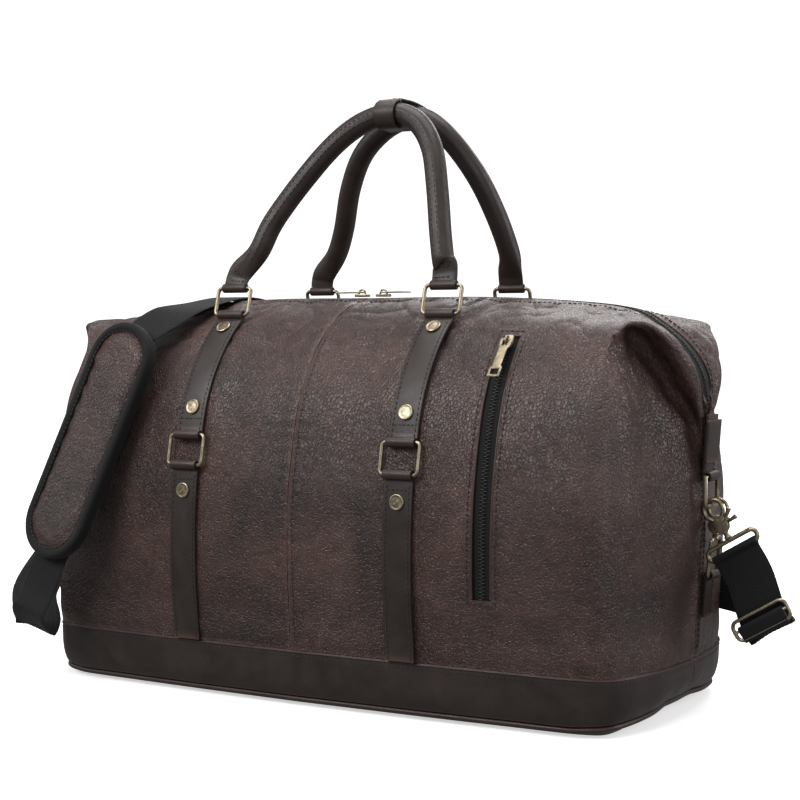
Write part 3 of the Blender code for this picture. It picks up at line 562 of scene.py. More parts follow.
def trim_leather():
    """Darker, smoother leather of the straps, band and handles, with rubbed edges."""
    look = Look("dark_leather")
    base = look.ramp(look.noise(35.0, 5.0, 0.6, 0.5), (0.30, DARK_TRIM), (0.70, LIGHT_TRIM))
    colour = look.mixed(look.worn_edges(0.53, 0.64), base, PALE_BROWN)
    grain = look.ramp(look.cells(900.0), (0.0, 0.0), (0.25, 1.0))
    normal = look.bump(look.noise(320.0, 6.0, 0.65), 0.22, 0.0003)
    normal = look.bump(grain, 0.28, 0.00012, normal)
    rough = look.ramp(look.noise(70.0, 5.0, 0.6), (0.3, 0.34), (0.7, 0.50))
    return look.done(colour, rough, normal, Specular_IOR_Level=0.5)


def thread():
    look = Look("thread")
    twist = look.wave(900.0, "DIAGONAL")
    colour = look.ramp(look.noise(300.0), (0.3, THREAD_DARK), (0.7, THREAD_LIGHT))
    return look.done(colour, 0.65, look.bump(twist, 0.4, 0.0001), Sheen_Weight=0.2)


def webbing_fabric():
    """Black twill weave."""
    look = Look("black_fabric")
    ribs = look.wave(230.0, "DIAGONAL", 0.4)
    cross = look.wave(330.0, "Z", 0.5)
    weave = look.mixed(0.5, ribs, cross, "MULTIPLY")
    colour = look.ramp(weave, (0.0, (0.0035, 0.0034, 0.0035)), (0.8, (0.016, 0.0155, 0.016)))
    normal = look.bump(weave, 0.6, 0.0004)
    normal = look.bump(look.noise(700.0, 4.0, 0.7), 0.3, 0.0003, normal)
    return look.done(colour, 0.82, normal, Specular_IOR_Level=0.3, Sheen_Weight=0.05, Sheen_Roughness=0.5)


def antique_brass():
    """Brushed, darkened brass with bright worn edges."""
    look = Look("antique_brass")
    tarnish = look.noise(140.0, 6.0, 0.65, 0.4)
    base = look.ramp(tarnish, (0.30, (0.15, 0.120, 0.080)), (0.55, (0.32, 0.265, 0.185)),
                     (0.75, (0.48, 0.410, 0.300)))
    colour = look.mixed(look.worn_edges(0.52, 0.62), base, (0.60, 0.52, 0.38))
    scratches = look.noise(900.0, 3.0, 0.7, vector=look.stretched((1.0, 1.0, 0.15)))
    rough = look.ramp(look.noise(260.0, 5.0, 0.6), (0.3, 0.24), (0.7, 0.44))
    return look.done(colour, rough, look.bump(scratches, 0.12, 0.0001), metallic=1.0)


def zip_coil():
    look = Look("zip_coil")
    colour = look.ramp(look.noise(400.0), (0.3, (0.0035, 0.0035, 0.0035)), (0.7, (0.022, 0.021, 0.020)))
    return look.done(colour, 0.38, look.bump(look.noise(900.0), 0.2, 0.0001))


def stiff_board():
    look = Look("grey_board")
    colour = look.ramp(look.noise(500.0, 5.0), (0.3, (0.17, 0.16, 0.145)), (0.7, (0.30, 0.285, 0.26)))
    return look.done(colour, 0.8, look.bump(look.noise(900.0), 0.3, 0.0002))


def lining_cloth():
    look = Look("black_lining")
    weave = look.mixed(0.5, look.wave(700.0, "X"), look.wave(700.0, "Z"), "MULTIPLY")
    colour = look.ramp(weave, (0.0, (0.006, 0.006, 0.007)), (1.0, (0.02, 0.02, 0.022)))
    return look.done(colour, 0.75, look.bump(weave, 0.4, 0.0002), Sheen_Weight=0.3)


DEEP_BROWN = (0.025, 0.0122, 0.0098)
MID_BROWN = (0.063, 0.0298, 0.0242)
PALE_BROWN = (0.106, 0.0545, 0.0450)
DARK_TRIM = (0.0180, 0.0112, 0.0092)
LIGHT_TRIM = (0.037, 0.0235, 0.0195)
THREAD_DARK = (0.0060, 0.0040, 0.0034)
THREAD_LIGHT = (0.016, 0.011, 0.009)
LOOKS = {
    "brown_leather": body_leather(),
    "dark_leather": trim_leather(),
    "thread": thread(),
    "black_fabric": webbing_fabric(),
    "antique_brass": antique_brass(),
    "zip_coil": zip_coil(),
    "grey_board": stiff_board(),
    "black_lining": lining_cloth(),
}
SLOT_OF = {"thread": "dark_leather", "zip_coil": "black_fabric"}


def coat(obj, look):
    obj.data.materials.clear()
    obj.data.materials.append(LOOKS[look])


def place(obj, look, body="bag", instead=()):
    """Gives a piece its material and its CAD body, and hides the CAD nodes it stands for."""
    coat(obj, look)
    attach(obj, body)
    SLOT_OF.get(look, look)
    if instead:
        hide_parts(*instead)
    return obj


def stitches(name, rows, body="bag"):
    return place(capsules(name, [stitch for row in rows for stitch in row]), "thread", body)


# ---------------------------------------------------------------- camera, light and floor

CAMERA_PLACE = (0.7355, -1.2432, 0.2914)
CAMERA_AZIMUTH, CAMERA_ELEVATION = 30.0, 2.2
camera = linked("camera", bpy.data.cameras.new("camera"))
camera.location = CAMERA_PLACE
camera.rotation_euler = (math.radians(90.0 - CAMERA_ELEVATION), 0.0, math.radians(CAMERA_AZIMUTH))
camera.data.lens = 77.4
camera.data.sensor_width = 36.0
bpy.context.scene.camera = camera


def softbox(name, place, target, size, power, colour=(1.0, 1.0, 1.0)):
    light = bpy.data.lights.new(name, "AREA")
    light.shape = "RECTANGLE"
    light.size, light.size_y = size
    light.energy = power
    light.color = colour
    obj = linked(name, light)
    obj.location = place
    obj.rotation_euler = (Vector(target) - Vector(place)).to_track_quat("-Z", "Y").to_euler()
    return obj


softbox("key", (-0.9, -2.2, 1.9), (0, 0, 0.2), (1.6, 1.2), 42.0)
softbox("fill", (1.9, -1.7, 0.9), (0.1, 0, 0.2), (1.4, 1.4), 9.0)
softbox("top", (0.0, 0.1, 2.3), (0, 0, 0.2), (2.0, 1.4), 36.0)
softbox("back", (-0.3, 2.3, 1.7), (0, 0, 0.25), (2.2, 0.9), 24.0)
softbox("left", (-2.3, -0.9, 1.2), (-0.1, 0, 0.25), (1.2, 1.4), 8.0)
softbox("rim_right", (2.0, 0.9, 0.9), (0.25, 0, 0.2), (0.8, 1.4), 16.0)
WORLD_STRENGTH = 0.24
world = bpy.data.worlds.new("studio")
world.use_nodes = True
world.node_tree.nodes["Background"].inputs["Color"].default_value = (1.0, 1.0, 1.0, 1.0)
world.node_tree.nodes["Background"].inputs["Strength"].default_value = WORLD_STRENGTH
bpy.context.scene.world = world
bpy.context.scene.view_settings.view_transform = "Standard"


def seen_only(obj):
    """The white studio is seen by the camera, and the bag is lit by the softboxes and the dim world."""
    obj.visible_diffuse = False
    obj.visible_glossy = False
    obj.visible_transmission = False


def white_studio():
    """Pale floor that keeps soft shadows near the bag and glows as painted light, dimmer near the bag and
    brighter further out, and a white backdrop round it.
    """
    rings, sides = (0.02, 0.45, 0.8, 1.4, 3.0, 8.0, 11.5), 72
    points = [Vector((math.cos(math.tau * i / sides), math.sin(math.tau * i / sides), 0)) * r * 1000.0
              + Vector((0, 0, -0.2)) for r in rings for i in range(sides)]
    faces = [tuple(range(sides))]
    for row in range(len(rings) - 1):
        for i in range(sides):
            a, b = row * sides + i, row * sides + (i + 1) % sides
            faces.append((a, a + sides, b + sides, b))
    floor = mesh_object("floor", points, faces)
    look = Look("floor")
    distance = look.nodes.new("ShaderNodeVectorMath")
    distance.operation = "LENGTH"
    look.join(look.place, distance.inputs[0])
    spread = look.nodes.new("ShaderNodeMath")
    spread.operation = "DIVIDE"
    spread.inputs[1].default_value = 3.0
    look.join(distance.outputs["Value"], spread.inputs[0])
    # Painted light: the floor glows, dimmer within about a metre of the bag and full white further out, so
    # that it reads as a lit white floor.
    painted_floor_glow = look.ramp(spread.outputs[0], (0.12, 0.56), (0.50, 1.0))
    look.join(painted_floor_glow, look.shader.inputs["Emission Color"])
    colour = look.ramp(look.noise(2.0), (0.3, 0.90), (0.7, 0.92))
    floor.data.materials.append(look.done(colour, 0.9, Emission_Strength=1.0))
    seen_only(floor)
    bm = bmesh.new()
    bmesh.ops.create_uvsphere(bm, u_segments=48, v_segments=24, radius=11.0)
    bmesh.ops.reverse_faces(bm, faces=bm.faces)
    mesh = bpy.data.meshes.new("backdrop")
    bm.to_mesh(mesh)
    bm.free()
    backdrop = linked("backdrop", mesh)
    look = Look("backdrop")
    look.shader.inputs["Emission Color"].default_value = (1.0, 1.0, 1.0, 1.0)
    mesh.materials.append(look.done(rough=0.9, Emission_Strength=1.02))
    backdrop.visible_shadow = False
    seen_only(backdrop)


white_studio()


# ---------------------------------------------------------------- hooks and where the strap starts

HOOK_DOWN = Vector((0.507, 0, -0.862))
WEB_ACROSS = Vector((0.862, 0, 0.507))


def end_eye(side_x, z_low, z_high, low_lobe, high_lobe):
    """Centre (x, z) of the loop of an end strip, on the CAD strip's own coarser line."""
    points = end_profile(side_x, z_low, z_high, 6)
    return strip_outline(points, Vector((side_x, 0.0)), *END_STRIP_FACES, low_lobe, high_lobe)[1][0]


def hook_plan(side_x):
    """Where the two hooks of one end hang, and where each points."""
    tab_eye = end_eye(side_x, D_RING_Z, TAB_TOP_Z, True, False)
    low_eye = end_eye(side_x, *END_STRAP_Z, False, True)
    hang = Vector((tab_eye.x + side_x * 3.4, tab_eye.y - D_RING_DROP - 2.2))
    aim = (low_eye - hang).normalized()
    return tab_eye, low_eye, hang, aim


def hook_foot(side_x):
    """Bottom of the strap hook's post."""
    hang = hook_plan(side_x)[2]
    down = Vector((HOOK_DOWN.x * side_x, 0, HOOK_DOWN.z))
    return Vector((hang.x, STRAP_HOOK_Y, hang.y)) + down * (HOOK_REACH + HOOK_POST)


# ---------------------------------------------------------------- shoulder strap

PAD_CENTRE = Vector((-204.0, -133.0, 203.0))
PAD_LONG = Vector((-0.27, -0.255, -0.93)).normalized()
PAD_OUT = Vector((-0.10, -0.97, 0.22))
PAD_OUT = (PAD_OUT - PAD_LONG * PAD_OUT.dot(PAD_LONG)).normalized()
PAD_WIDE = PAD_OUT.cross(PAD_LONG)
PAD_AXES = axes(PAD_LONG, PAD_WIDE, PAD_OUT)
LEFT_DOWN = Vector((-HOOK_DOWN.x, 0, HOOK_DOWN.z))


def under_pad(distance, gap=0.8):
    """Middle of the webbing behind the pad, at a distance along it from the pad's centre."""
    return PAD_CENTRE + PAD_LONG * distance - PAD_OUT * (PAD_THICKNESS / 2 + gap + WEB_THICKNESS / 2)


def web_stations():
    """(point, width direction) along the strap, from the right hook behind the bag to the left hook."""
    right_end, left_end = hook_foot(1) + HOOK_DOWN * 11.6, hook_foot(-1) + LEFT_DOWN * 11.6
    right_across, left_across = tuple(WEB_ACROSS), (WEB_ACROSS.x, 0, -WEB_ACROSS.z)
    wide = tuple(PAD_WIDE)
    return (
        (right_end, right_across), (right_end + HOOK_DOWN * 20.0, right_across),
        ((331, -6, 86), right_across),
        ((336, -2, 73), right_across), ((337, 5, 69), right_across), ((330, 17, 70), (0.80, 0.1, 0.6)),
        ((313, 46, 74), (0.55, 0.2, 0.8)), ((297, 84, 76), (0.2, 0.1, 0.97)), ((275, 122, 78), (0, 0, 1)),
        ((235, 139, 82), (0.03, 0, 1)), ((180, 142, 92), (0.15, 0, 0.99)),
        ((120, 142, 108), (0.28, 0, 0.96)),
        ((60, 142, 130), (0.40, 0, 0.92)), ((0, 140, 158), (0.5, 0, 0.87)),
        ((-50, 137, 190), (0.62, 0, 0.78)),
        ((-95, 130, 222), (0.75, 0.1, 0.65)), ((-126, 118, 252), (0.88, 0.1, 0.46)),
        ((-145, 100, 281), (0.97, 0.1, 0.2)), ((-150, 78, 301), (1, 0, 0.05)), ((-152, 44, 317), (1, 0, 0)),
        ((-153, 4, 323), (1, 0, 0)), ((-155, -40, 317.5), (1, 0.08, 0)),
        ((-161, -74, 309), (0.98, 0.12, -0.12)),
        (under_pad(-100, 4.0), wide), (under_pad(-84, 1.8), wide), (under_pad(-50), wide),
        (under_pad(0), wide), (under_pad(50), wide), (under_pad(98), wide), (under_pad(130), wide),
        (under_pad(152), wide), ((-257, -143, 44), (0.95, 0.1, -0.3)),
        ((-263, -132, 48), (0.94, 0.1, -0.33)), ((-286, -110, 68), (0.9, 0.1, -0.42)),
        ((-300, -68, 91), (0.87, 0, -0.49)), (left_end + LEFT_DOWN * 20.0, left_across),
        (left_end, left_across),
    )


def web_frames(per_span):
    """(point, width direction, face direction) along the strap."""
    stations = web_stations()
    centres = [Vector(centre) for centre, _ in stations]
    widths = [Vector(width).normalized() for _, width in stations]
    last = len(stations) - 1
    found = []
    for i in range(last * per_span + 1):
        t = i / per_span
        ahead = catmull(centres, min(t + 0.02, float(last)))
        behind = catmull(centres, max(t - 0.02, 0.0))
        along = (ahead - behind).normalized()
        width = catmull(widths, t)
        width = (width - along * along.dot(width)).normalized()
        found.append((catmull(centres, t), width, along.cross(width)))
    return found


def web_section(point, width, face, ribs=11):
    """Cross-section of the webbing: flat, with fine lengthwise ribs and rounded edges."""
    half, thick = WEB_WIDTH / 2, WEB_THICKNESS / 2
    steps = ribs * 4
    upper, lower = [], []
    for i in range(steps + 1):
        share = 2.0 * i / steps - 1.0
        rib = 0.16 * math.cos(ribs * math.tau * i / steps)
        edge = 1.0 - 0.75 * max(0.0, abs(share) - 0.93) / 0.07
        rise = (thick - 0.25 + rib) * edge
        upper.append(point + width * share * half + face * rise)
        lower.append(point + width * share * half - face * rise)
    return upper + lower[::-1]


def shoulder_strap():
    """Webbing, with its middle line and its length in metres."""
    frames = web_frames(8)
    strap = loft("shoulder_webbing_cloth", [web_section(*frame_at) for frame_at in frames], 60.0)
    place(strap, "black_fabric", instead=["shoulder_webbing"])
    centre_line = [point * MM for point, _, _ in frames]
    length = sum((b - a).length for a, b in zip(centre_line, centre_line[1:]))
    return strap, centre_line, length


def bar_wrap(name, bar, down, across, radius, run, body="bag"):
    """Webbing folded round a bar, its two layers meeting below."""
    face = down.cross(across).normalized()
    inner, outer = radius + 0.25, radius + 0.25 + WEB_THICKNESS * 0.8
    outline = [Vector((outer * math.cos(a), outer * math.sin(a)))
               for a in (math.radians(-10 + 200 * i / 20) for i in range(21))]
    outline += [Vector((-0.95, -run)), Vector((0.95, -run))]
    hole = [Vector((inner * math.cos(math.tau * i / 20), inner * math.sin(math.tau * i / 20)))
            for i in range(20)]
    obj = extruded(name, [outline, hole], WEB_WIDTH, axes(face, -down, across), bar, 0.3)
    return place(obj, "black_fabric", body)


def pad_core():
    """Puffed leather pad: a rounded block filled by cloth pressure."""
    outline = rounded_loop(PAD_LENGTH - 7.0, PAD_WIDTH - 7.0, PAD_WIDTH / 2 - 4.0, 12)
    core = extruded("shoulder_pad_leather", [outline], PAD_THICKNESS - 5.5, PAD_AXES,
                    PAD_CENTRE + PAD_OUT * 0.6, 1.6)
    remesh = core.modifiers.new("remesh", "REMESH")
    remesh.mode = "VOXEL"
    remesh.voxel_size = 0.0042
    core = bake(core, 180.0)
    rest = [vertex.co.copy() for vertex in core.data.vertices]
    cloth = core.modifiers.new("cloth", "CLOTH")
    cloth.settings.use_pressure = True
    cloth.settings.uniform_pressure_force = 4.0
    cloth.settings.effector_weights.gravity = 0.0
    cloth.settings.tension_stiffness = 18.0
    cloth.settings.mass = 0.3
    for step in range(1, 21):
        bpy.context.scene.frame_set(step)
    core = bake(core, 180.0)
    limit = 2.6 * MM
    for vertex, start in zip(core.data.vertices, rest):
        move = vertex.co - start
        if move.length > limit:
            vertex.co = start + move.normalized() * limit
    bpy.context.scene.frame_set(1)
    smooth = core.modifiers.new("smooth", "SUBSURF")
    smooth.levels = smooth.render_levels = 1
    return bake(core, 180.0)


def shoulder_pad():
    """Puffed leather core, its fabric back, the rolled binding round its edge and the stitching."""
    core = place(pad_core(), "brown_leather", "pad", ["shoulder_pad"])
    edge = rounded_loop(PAD_LENGTH - 4.6, PAD_WIDTH - 4.6, PAD_WIDTH / 2 - 3.3, 14)
    edge = resampled([Vector((*p, 0)) for p in edge + edge[:1]], 2.2)
    sections = []
    half_wide, half_deep = 4.9, PAD_THICKNESS / 2 - 0.3
    for i, point in enumerate(edge):
        along = (edge[(i + 1) % len(edge)] - edge[i - 1]).normalized()
        out = Vector((along.y, -along.x, 0))
        section = []
        for j in range(16):
            angle = math.tau * j / 16
            bulge = abs(math.cos(angle)) ** 0.6 * math.copysign(1, math.cos(angle))
            local = point - out * 2.0 + out * half_wide * bulge * 0.85
            rise = half_deep * abs(math.sin(angle)) ** 0.8 * math.copysign(1, math.sin(angle))
            local = local + Vector((0, 0, rise))
            section.append(PAD_CENTRE + PAD_AXES @ local)
        sections.append(section)
    sections.append(sections[0])
    binding = loft("shoulder_pad_binding", sections, 60.0, close_ends=False)
    place(binding, "black_fabric", "pad")
    backing = rounded_loop(PAD_LENGTH - 12, PAD_WIDTH - 12, PAD_WIDTH / 2 - 7, 12)
    back = extruded("shoulder_pad_back", [backing], 1.4, PAD_AXES,
                    PAD_CENTRE - PAD_OUT * (PAD_THICKNESS / 2 - 1.2), 0.5)
    place(back, "black_fabric", "pad")
    inner = rounded_loop(PAD_LENGTH - 16.6, PAD_WIDTH - 16.6, PAD_WIDTH / 2 - 9.3, 14)
    rise = PAD_THICKNESS / 2 - 0.55
    line = [PAD_CENTRE + PAD_AXES @ Vector((p.x, p.y, rise)) for p in inner + inner[:1]]
    stitches("shoulder_pad_stitches", [stitch_row(line, 2.6, 1.4)], "pad")


strap_cloth, STRAP_LINE, STRAP_LENGTH = shoulder_strap()
shoulder_pad()


# ---------------------------------------------------------------- body shell

def spline_weights(places, count):
    """Row per place, column per control point, of the same smooth curve as catmull."""
    rows = np.zeros((len(places), count))
    for row, t in zip(rows, places):
        i = min(int(t), count - 2)
        f = t - i
        before = 0.5 * (-f + 2 * f * f - f ** 3)
        after = 0.5 * (-f * f + f ** 3)
        row[i] += 0.5 * (2 - 5 * f * f + 3 * f ** 3)
        row[i + 1] += 0.5 * (f + 4 * f * f - 3 * f ** 3)
        if i > 0:
            row[i - 1] += before
        else:
            row[i] += 2 * before
            row[i + 1] -= before
        if i + 2 < count:
            row[i + 2] += after
        else:
            row[i + 1] += 2 * after
            row[i] -= after
    return rows


COLUMNS = np.concatenate([np.linspace(0.0, 3.0, 110)[:-1], np.linspace(3.0, 7.0, 90)])
ROWS = np.linspace(0.0, 8.0, 150)
NET_POINTS = np.array(QUARTER_NET, float)


def body_grid(side_x, side_y):
    """Dense points of one quarter's plain surface, columns by rows."""
    across = spline_weights(COLUMNS, len(QUARTER_NET))
    up = spline_weights(ROWS, len(QUARTER_NET[0]))
    grid = np.einsum("ai,ijk,bj->abk", across, NET_POINTS, up)
    grid[..., 0] = side_x * grid[..., 0] + MIDDLE_SEAM_X * np.clip(1 - COLUMNS / 3.0, 0, 1)[:, None]
    grid[..., 1] *= -side_y
    return grid


def noise_at(points, scale, seed=0.0):
    """Smooth noise from -1 to 1 at each point; scale is (x, y, z) per millimetre."""
    flat = points.reshape(-1, 3) * np.array(scale) + seed
    return np.array([noise.noise(Vector(p)) for p in flat]).reshape(points.shape[:-1])


def ring_anchors(side_y):
    """X of the handle rings on the front or the back."""
    return FRONT_STRAPS_X if side_y < 0 else BACK_STRAPS_X


def hump(values, centre, spread):
    """1 at centre, falling smoothly to 0 over about two spreads on either side."""
    return np.exp(-(((values - centre) / spread) ** 2))


def climb(values, start, span):
    """0 up to start, rising evenly to 1 over span."""
    return np.clip((values - start) / span, 0, 1)


def leather_relief(grid, side_x, side_y):
    """Distance in millimetres that the leather stands out of, or sinks into, its plain form."""
    x, y, z = grid[..., 0], grid[..., 1], grid[..., 2]
    seed = 3.0 * side_x + 7.0 * side_y

    def thin_lines(points, scale, offset, narrow):
        """1 along thin wandering lines, 0 between them."""
        return np.clip(1.0 - np.abs(noise_at(points, scale, seed + offset)) * narrow, 0, 1) ** 3

    def pleats(along, length, scale, offset):
        """Waves from 0 to 1 of about the given length, swaying unevenly."""
        sway = 3.0 * noise_at(grid, (scale, scale, scale), seed + offset)
        return 0.5 + 0.5 * np.cos(along * math.tau / length + sway)

    upper = climb(z, 170.0, 120.0)
    slanted = grid.copy()
    slanted[..., 0] = x + side_x * 0.8 * z
    slanted[..., 2] = z * 0.35
    relief = 1.3 * noise_at(grid, (0.011, 0.011, 0.009), seed)
    relief += 0.55 * noise_at(grid, (0.034, 0.034, 0.022), seed + 5)
    relief -= 1.5 * thin_lines(grid, (0.024, 0.024, 0.006), 11, 2.2) * upper
    relief -= 0.95 * thin_lines(slanted, (0.038, 0.030, 0.020), 17, 2.6) * (0.25 + 0.75 * upper)
    corner = climb(COLUMNS, 3.2, 1.4)[:, None] * climb(z, 215.0, 60.0)
    relief -= 1.7 * thin_lines(slanted, (0.05, 0.05, 0.06), 23, 2.4) * corner
    # Creases that fan out from each handle ring, and the leather raised along the strap under it
    for anchor in ring_anchors(side_y):
        dx, dz = x - anchor, (298.0 - z) * 1.15
        distance = np.hypot(dx, dz) + 1e-6
        angle = np.arctan2(dx, dz)
        rays = np.cos(angle * 9.0 + 2.0 * noise_at(grid, (0.02, 0.02, 0.02), seed + 31))
        relief -= 1.25 * np.clip(rays, 0, 1) ** 2 * hump(distance, 34.0, 34.0)
        relief += 0.9 * hump(np.abs(dx), 20.0, 9.0) * climb(z, 120, 100)
    # Middle seam
    seam = np.abs(x - MIDDLE_SEAM_X)
    relief -= 1.7 * hump(seam, 0.0, 2.4)
    relief += 0.9 * hump(seam, 5.5, 4.0) * (1.0 if side_x > 0 else 0.35)
    relief -= 0.55 * pleats(z, 11.0, 0.03, 41) * hump(seam, 0.0, 14.0)
    # Gathers above the base band
    above_band = z - BAND_TOP
    along_band = np.where(COLUMNS[:, None] < 4.5, x, y)
    relief -= 0.6 * pleats(along_band, 14.0, 0.02, 47) * np.exp(-above_band / 9.0)
    relief += 1.0 * hump(above_band, 12.0, 10.0)
    # Gathers below the top zip
    to_zip = (8.0 - ROWS)[None, :]
    relief -= 0.9 * pleats(x, 17.0, 0.02, 53) * hump(to_zip, 0.8, 0.5)
    # End seam
    end_seam = (7.0 - COLUMNS)[:, None]
    relief -= 0.8 * hump(end_seam, 0.0, 0.10)
    relief += 0.7 * hump(end_seam, 0.30, 0.18) * climb(-z, -230, 40)
    calm = np.clip(COLUMNS[:, None] * 8.0 + 0.2, 0.6, 1.0)
    return np.clip(relief * calm, -5.0, 1.9)


def grid_normals(grid, flip):
    """Unit normals of a grid of points; flip is +1 or -1."""
    du = np.gradient(grid, axis=0)
    dv = np.gradient(grid, axis=1)
    normal = np.cross(du, dv) * flip
    return normal / np.maximum(np.linalg.norm(normal, axis=2, keepdims=True), 1e-9)


def softened(field, rounds):
    """Evens out a grid by averaging each point with its neighbours."""
    for _ in range(rounds):
        wide = np.pad(field, ((1, 1), (1, 1), (0, 0)), "edge")
        field = (wide[:-2, 1:-1] + wide[2:, 1:-1] + wide[1:-1, :-2] + wide[1:-1, 2:] + 2 * field) / 6
    return field


# The deep valley at each end and the welt that hangs over it, as rows of the net against its columns
FOLD_COLUMNS = (4.00, 4.35, 5.16, 5.79, 6.28, 6.60)
VALLEY_ROWS = (5.60, 5.46, 5.21, 5.10, 5.21, 5.36)
CREST_ROWS = (6.15, 6.05, 5.92, 5.78, 5.70, 5.62)
VALLEY_DEPTH, VALLEY_SPREAD = 9.5, 0.24
CREST_HEIGHT, CREST_SPREAD = 3.0, 0.22


def end_fold():
    """Millimetres that the fold adds to the leather's relief."""
    valley = np.interp(COLUMNS, FOLD_COLUMNS, VALLEY_ROWS)[:, None]
    crest = np.interp(COLUMNS, FOLD_COLUMNS, CREST_ROWS)[:, None]
    window = climb(COLUMNS, 3.95, 0.55) * climb(-COLUMNS, -6.75, 0.35)
    deep = VALLEY_DEPTH * hump(ROWS[None, :], valley, VALLEY_SPREAD)
    high = CREST_HEIGHT * hump(ROWS[None, :], crest, CREST_SPREAD)
    return (high - deep) * window[:, None]


PANELS = {}


def shape_panels():
    """Leather surfaces of the four quarters, smoothed where the front folds into the end."""
    near_corner = hump(COLUMNS, 3.3, 0.55)[:, None] * hump(ROWS, 5.4, 0.75)[None, :]
    for side_x in (-1, 1):
        for side_y in (-1, 1):
            grid = body_grid(side_x, side_y)
            normals = grid_normals(grid, -side_x * side_y)
            normals = softened(normals, 10)
            normals /= np.linalg.norm(normals, axis=2, keepdims=True)
            relief = leather_relief(grid, side_x, side_y) + end_fold()
            zip_edge = np.clip((8.0 - ROWS) * 6.0, 0.0, 1.0)[None, :]
            grid = grid + normals * (relief * zip_edge)[..., None]
            grid = grid + (softened(grid, 60) - grid) * near_corner[..., None]
            grid[0, :, 0] = MIDDLE_SEAM_X + side_x * SEAM_GAP / 2
            grid[..., 1] = side_y * np.maximum(side_y * grid[..., 1], SEAM_GAP / 2)
            grid[..., 2] = np.maximum(grid[..., 2], BAND_TOP + 0.3)
            PANELS[side_x, side_y] = (grid, grid_normals(grid, -side_x * side_y))


def body_panel(side_x, side_y, names):
    """One quarter's leather as a closed skin of even thickness."""
    grid, _ = PANELS[side_x, side_y]
    rows = len(ROWS)
    faces = []
    for i in range(len(COLUMNS) - 1):
        for j in range(rows - 1):
            corner = i * rows + j
            face = (corner, corner + rows, corner + rows + 1, corner + 1)
            faces.append(face if side_x * side_y < 0 else face[::-1])
    mesh = bpy.data.meshes.new(names + "_leather")
    mesh.from_pydata((grid.reshape(-1, 3) * MM).tolist(), [], faces)
    obj = linked(mesh.name, mesh)
    skin = obj.modifiers.new("leather", "SOLIDIFY")
    skin.thickness = 2.0 * MM
    skin.offset = -1.0
    return bake(obj, 60.0)


def surface_spot(x, z, side_y):
    """Point and outward normal of the finished leather at x and height z on the front or back."""
    side_x = 1 if x > MIDDLE_SEAM_X else -1
    grid, normals = PANELS[side_x, side_y]
    limit = int(np.searchsorted(COLUMNS, 4.6))
    gap = np.abs(grid[:limit, :, 0] - x) + np.abs(grid[:limit, :, 2] - z)
    gap[:, ROWS > 7.7] += 1e3
    near = np.argsort(gap, axis=None)[:4]
    weights = 1.0 / (gap.reshape(-1)[near] + 0.05)
    point = (grid[:limit].reshape(-1, 3)[near] * weights[:, None]).sum(0) / weights.sum()
    normal = (normals[:limit].reshape(-1, 3)[near] * weights[:, None]).sum(0)
    normal /= np.linalg.norm(normal)
    return Vector((x, point[1], z)), Vector(normal)


def surface_line(places, side_y, rise):
    """Points that stand off the finished leather by rise, at each (x, z)."""
    found = []
    for x, z in places:
        point, normal = surface_spot(x, z, side_y)
        found.append(point + normal * rise)
    return found


def smoothed(points, rounds=3):
    """Evens out small steps along a line, keeping its ends."""
    for _ in range(rounds):
        inner = [(a + b * 2 + c) / 4 for a, b, c in zip(points, points[1:], points[2:])]
        points = [points[0]] + inner + [points[-1]]
    return points


shape_panels()
for shell_x, sideways in ((-1, "left"), (1, "right")):
    for shell_y, facing in ((-1, "front"), (1, "back")):
        panel = body_panel(shell_x, shell_y, f"{facing}_{sideways}")
        if (facing, sideways) == ("front", "right"):
            slot_line = profile_at(POCKET_X, -1, *POCKET_Z, 25)
            slot, _ = strip_outline(slot_line, outward(-1), -9.0, 9.0, False, False)
            cutter = extruded("slot", [slot], POCKET_WIDTH - 1.6, FLAT_IN_YZ, (POCKET_X, 0, 0), 0.0)
            cut = panel.modifiers.new("slot", "BOOLEAN")
            cut.operation = "DIFFERENCE"
            cut.solver = "EXACT"
            cut.object = cutter
            panel = bake(panel, 60.0)
            bpy.data.objects.remove(cutter)
        place(panel, "brown_leather", instead=[f"{facing}_panel_{sideways}"])


def seam_stitching():
    """Thread beside the middle seam, and along both edges of the top zip."""
    rows = []
    for side_y in (-1, 1):
        heights = [52 + 240 * i / 120 for i in range(121)]
        beside = [(MIDDLE_SEAM_X + 5.2, z) for z in heights]
        rows.append(stitch_row(smoothed(surface_line(beside, side_y, 0.15))))
        for side_x in (-1, 1):
            grid, normals = PANELS[side_x, side_y]
            row = int(np.searchsorted(ROWS, 7.72))
            line = [Vector(p) + Vector(n) * 0.15 for p, n in zip(grid[:-4, row], normals[:-4, row])]
            rows.append(stitch_row(smoothed(line)))
            column = int(np.searchsorted(COLUMNS, 6.86))
            top = int(np.searchsorted(ROWS, 5.2))
            line = [Vector(p) + Vector(n) * 0.15 for p, n in zip(grid[column, 3:top], normals[column, 3:top])]
            rows.append(stitch_row(smoothed(line)))
    stitches("body_seam_stitches", rows)


seam_stitching()


# ---------------------------------------------------------------- base

FINE_COLUMNS = [7.0 * i / 70 for i in range(71)]


def base_outline(side_y, inset_front, inset_end, z_front, z_end):
    """Half outline of the base, from the left end seam to the right one, pulled in by the insets."""
    points = []
    for side_x, columns in ((-1, FINE_COLUMNS[::-1]), (1, FINE_COLUMNS[1:])):
        for u in columns:
            point = body_point(u, 0, side_x, side_y)
            turn = min(1.0, max(0.0, (u - 3.0) / 3.0))
            inset = inset_front + (inset_end - inset_front) * turn
            point.x -= side_x * inset * math.sin(turn * math.pi / 2)
            point.y -= side_y * inset * (1 - turn)
            point.z = z_front + (z_end - z_front) * turn
            points.append(point)
    return points


def base_ring(*levels):
    """The whole outline of the base at one level."""
    front, back = base_outline(-1, *levels), base_outline(1, *levels)
    return front[:-1] + back[::-1][:-1]


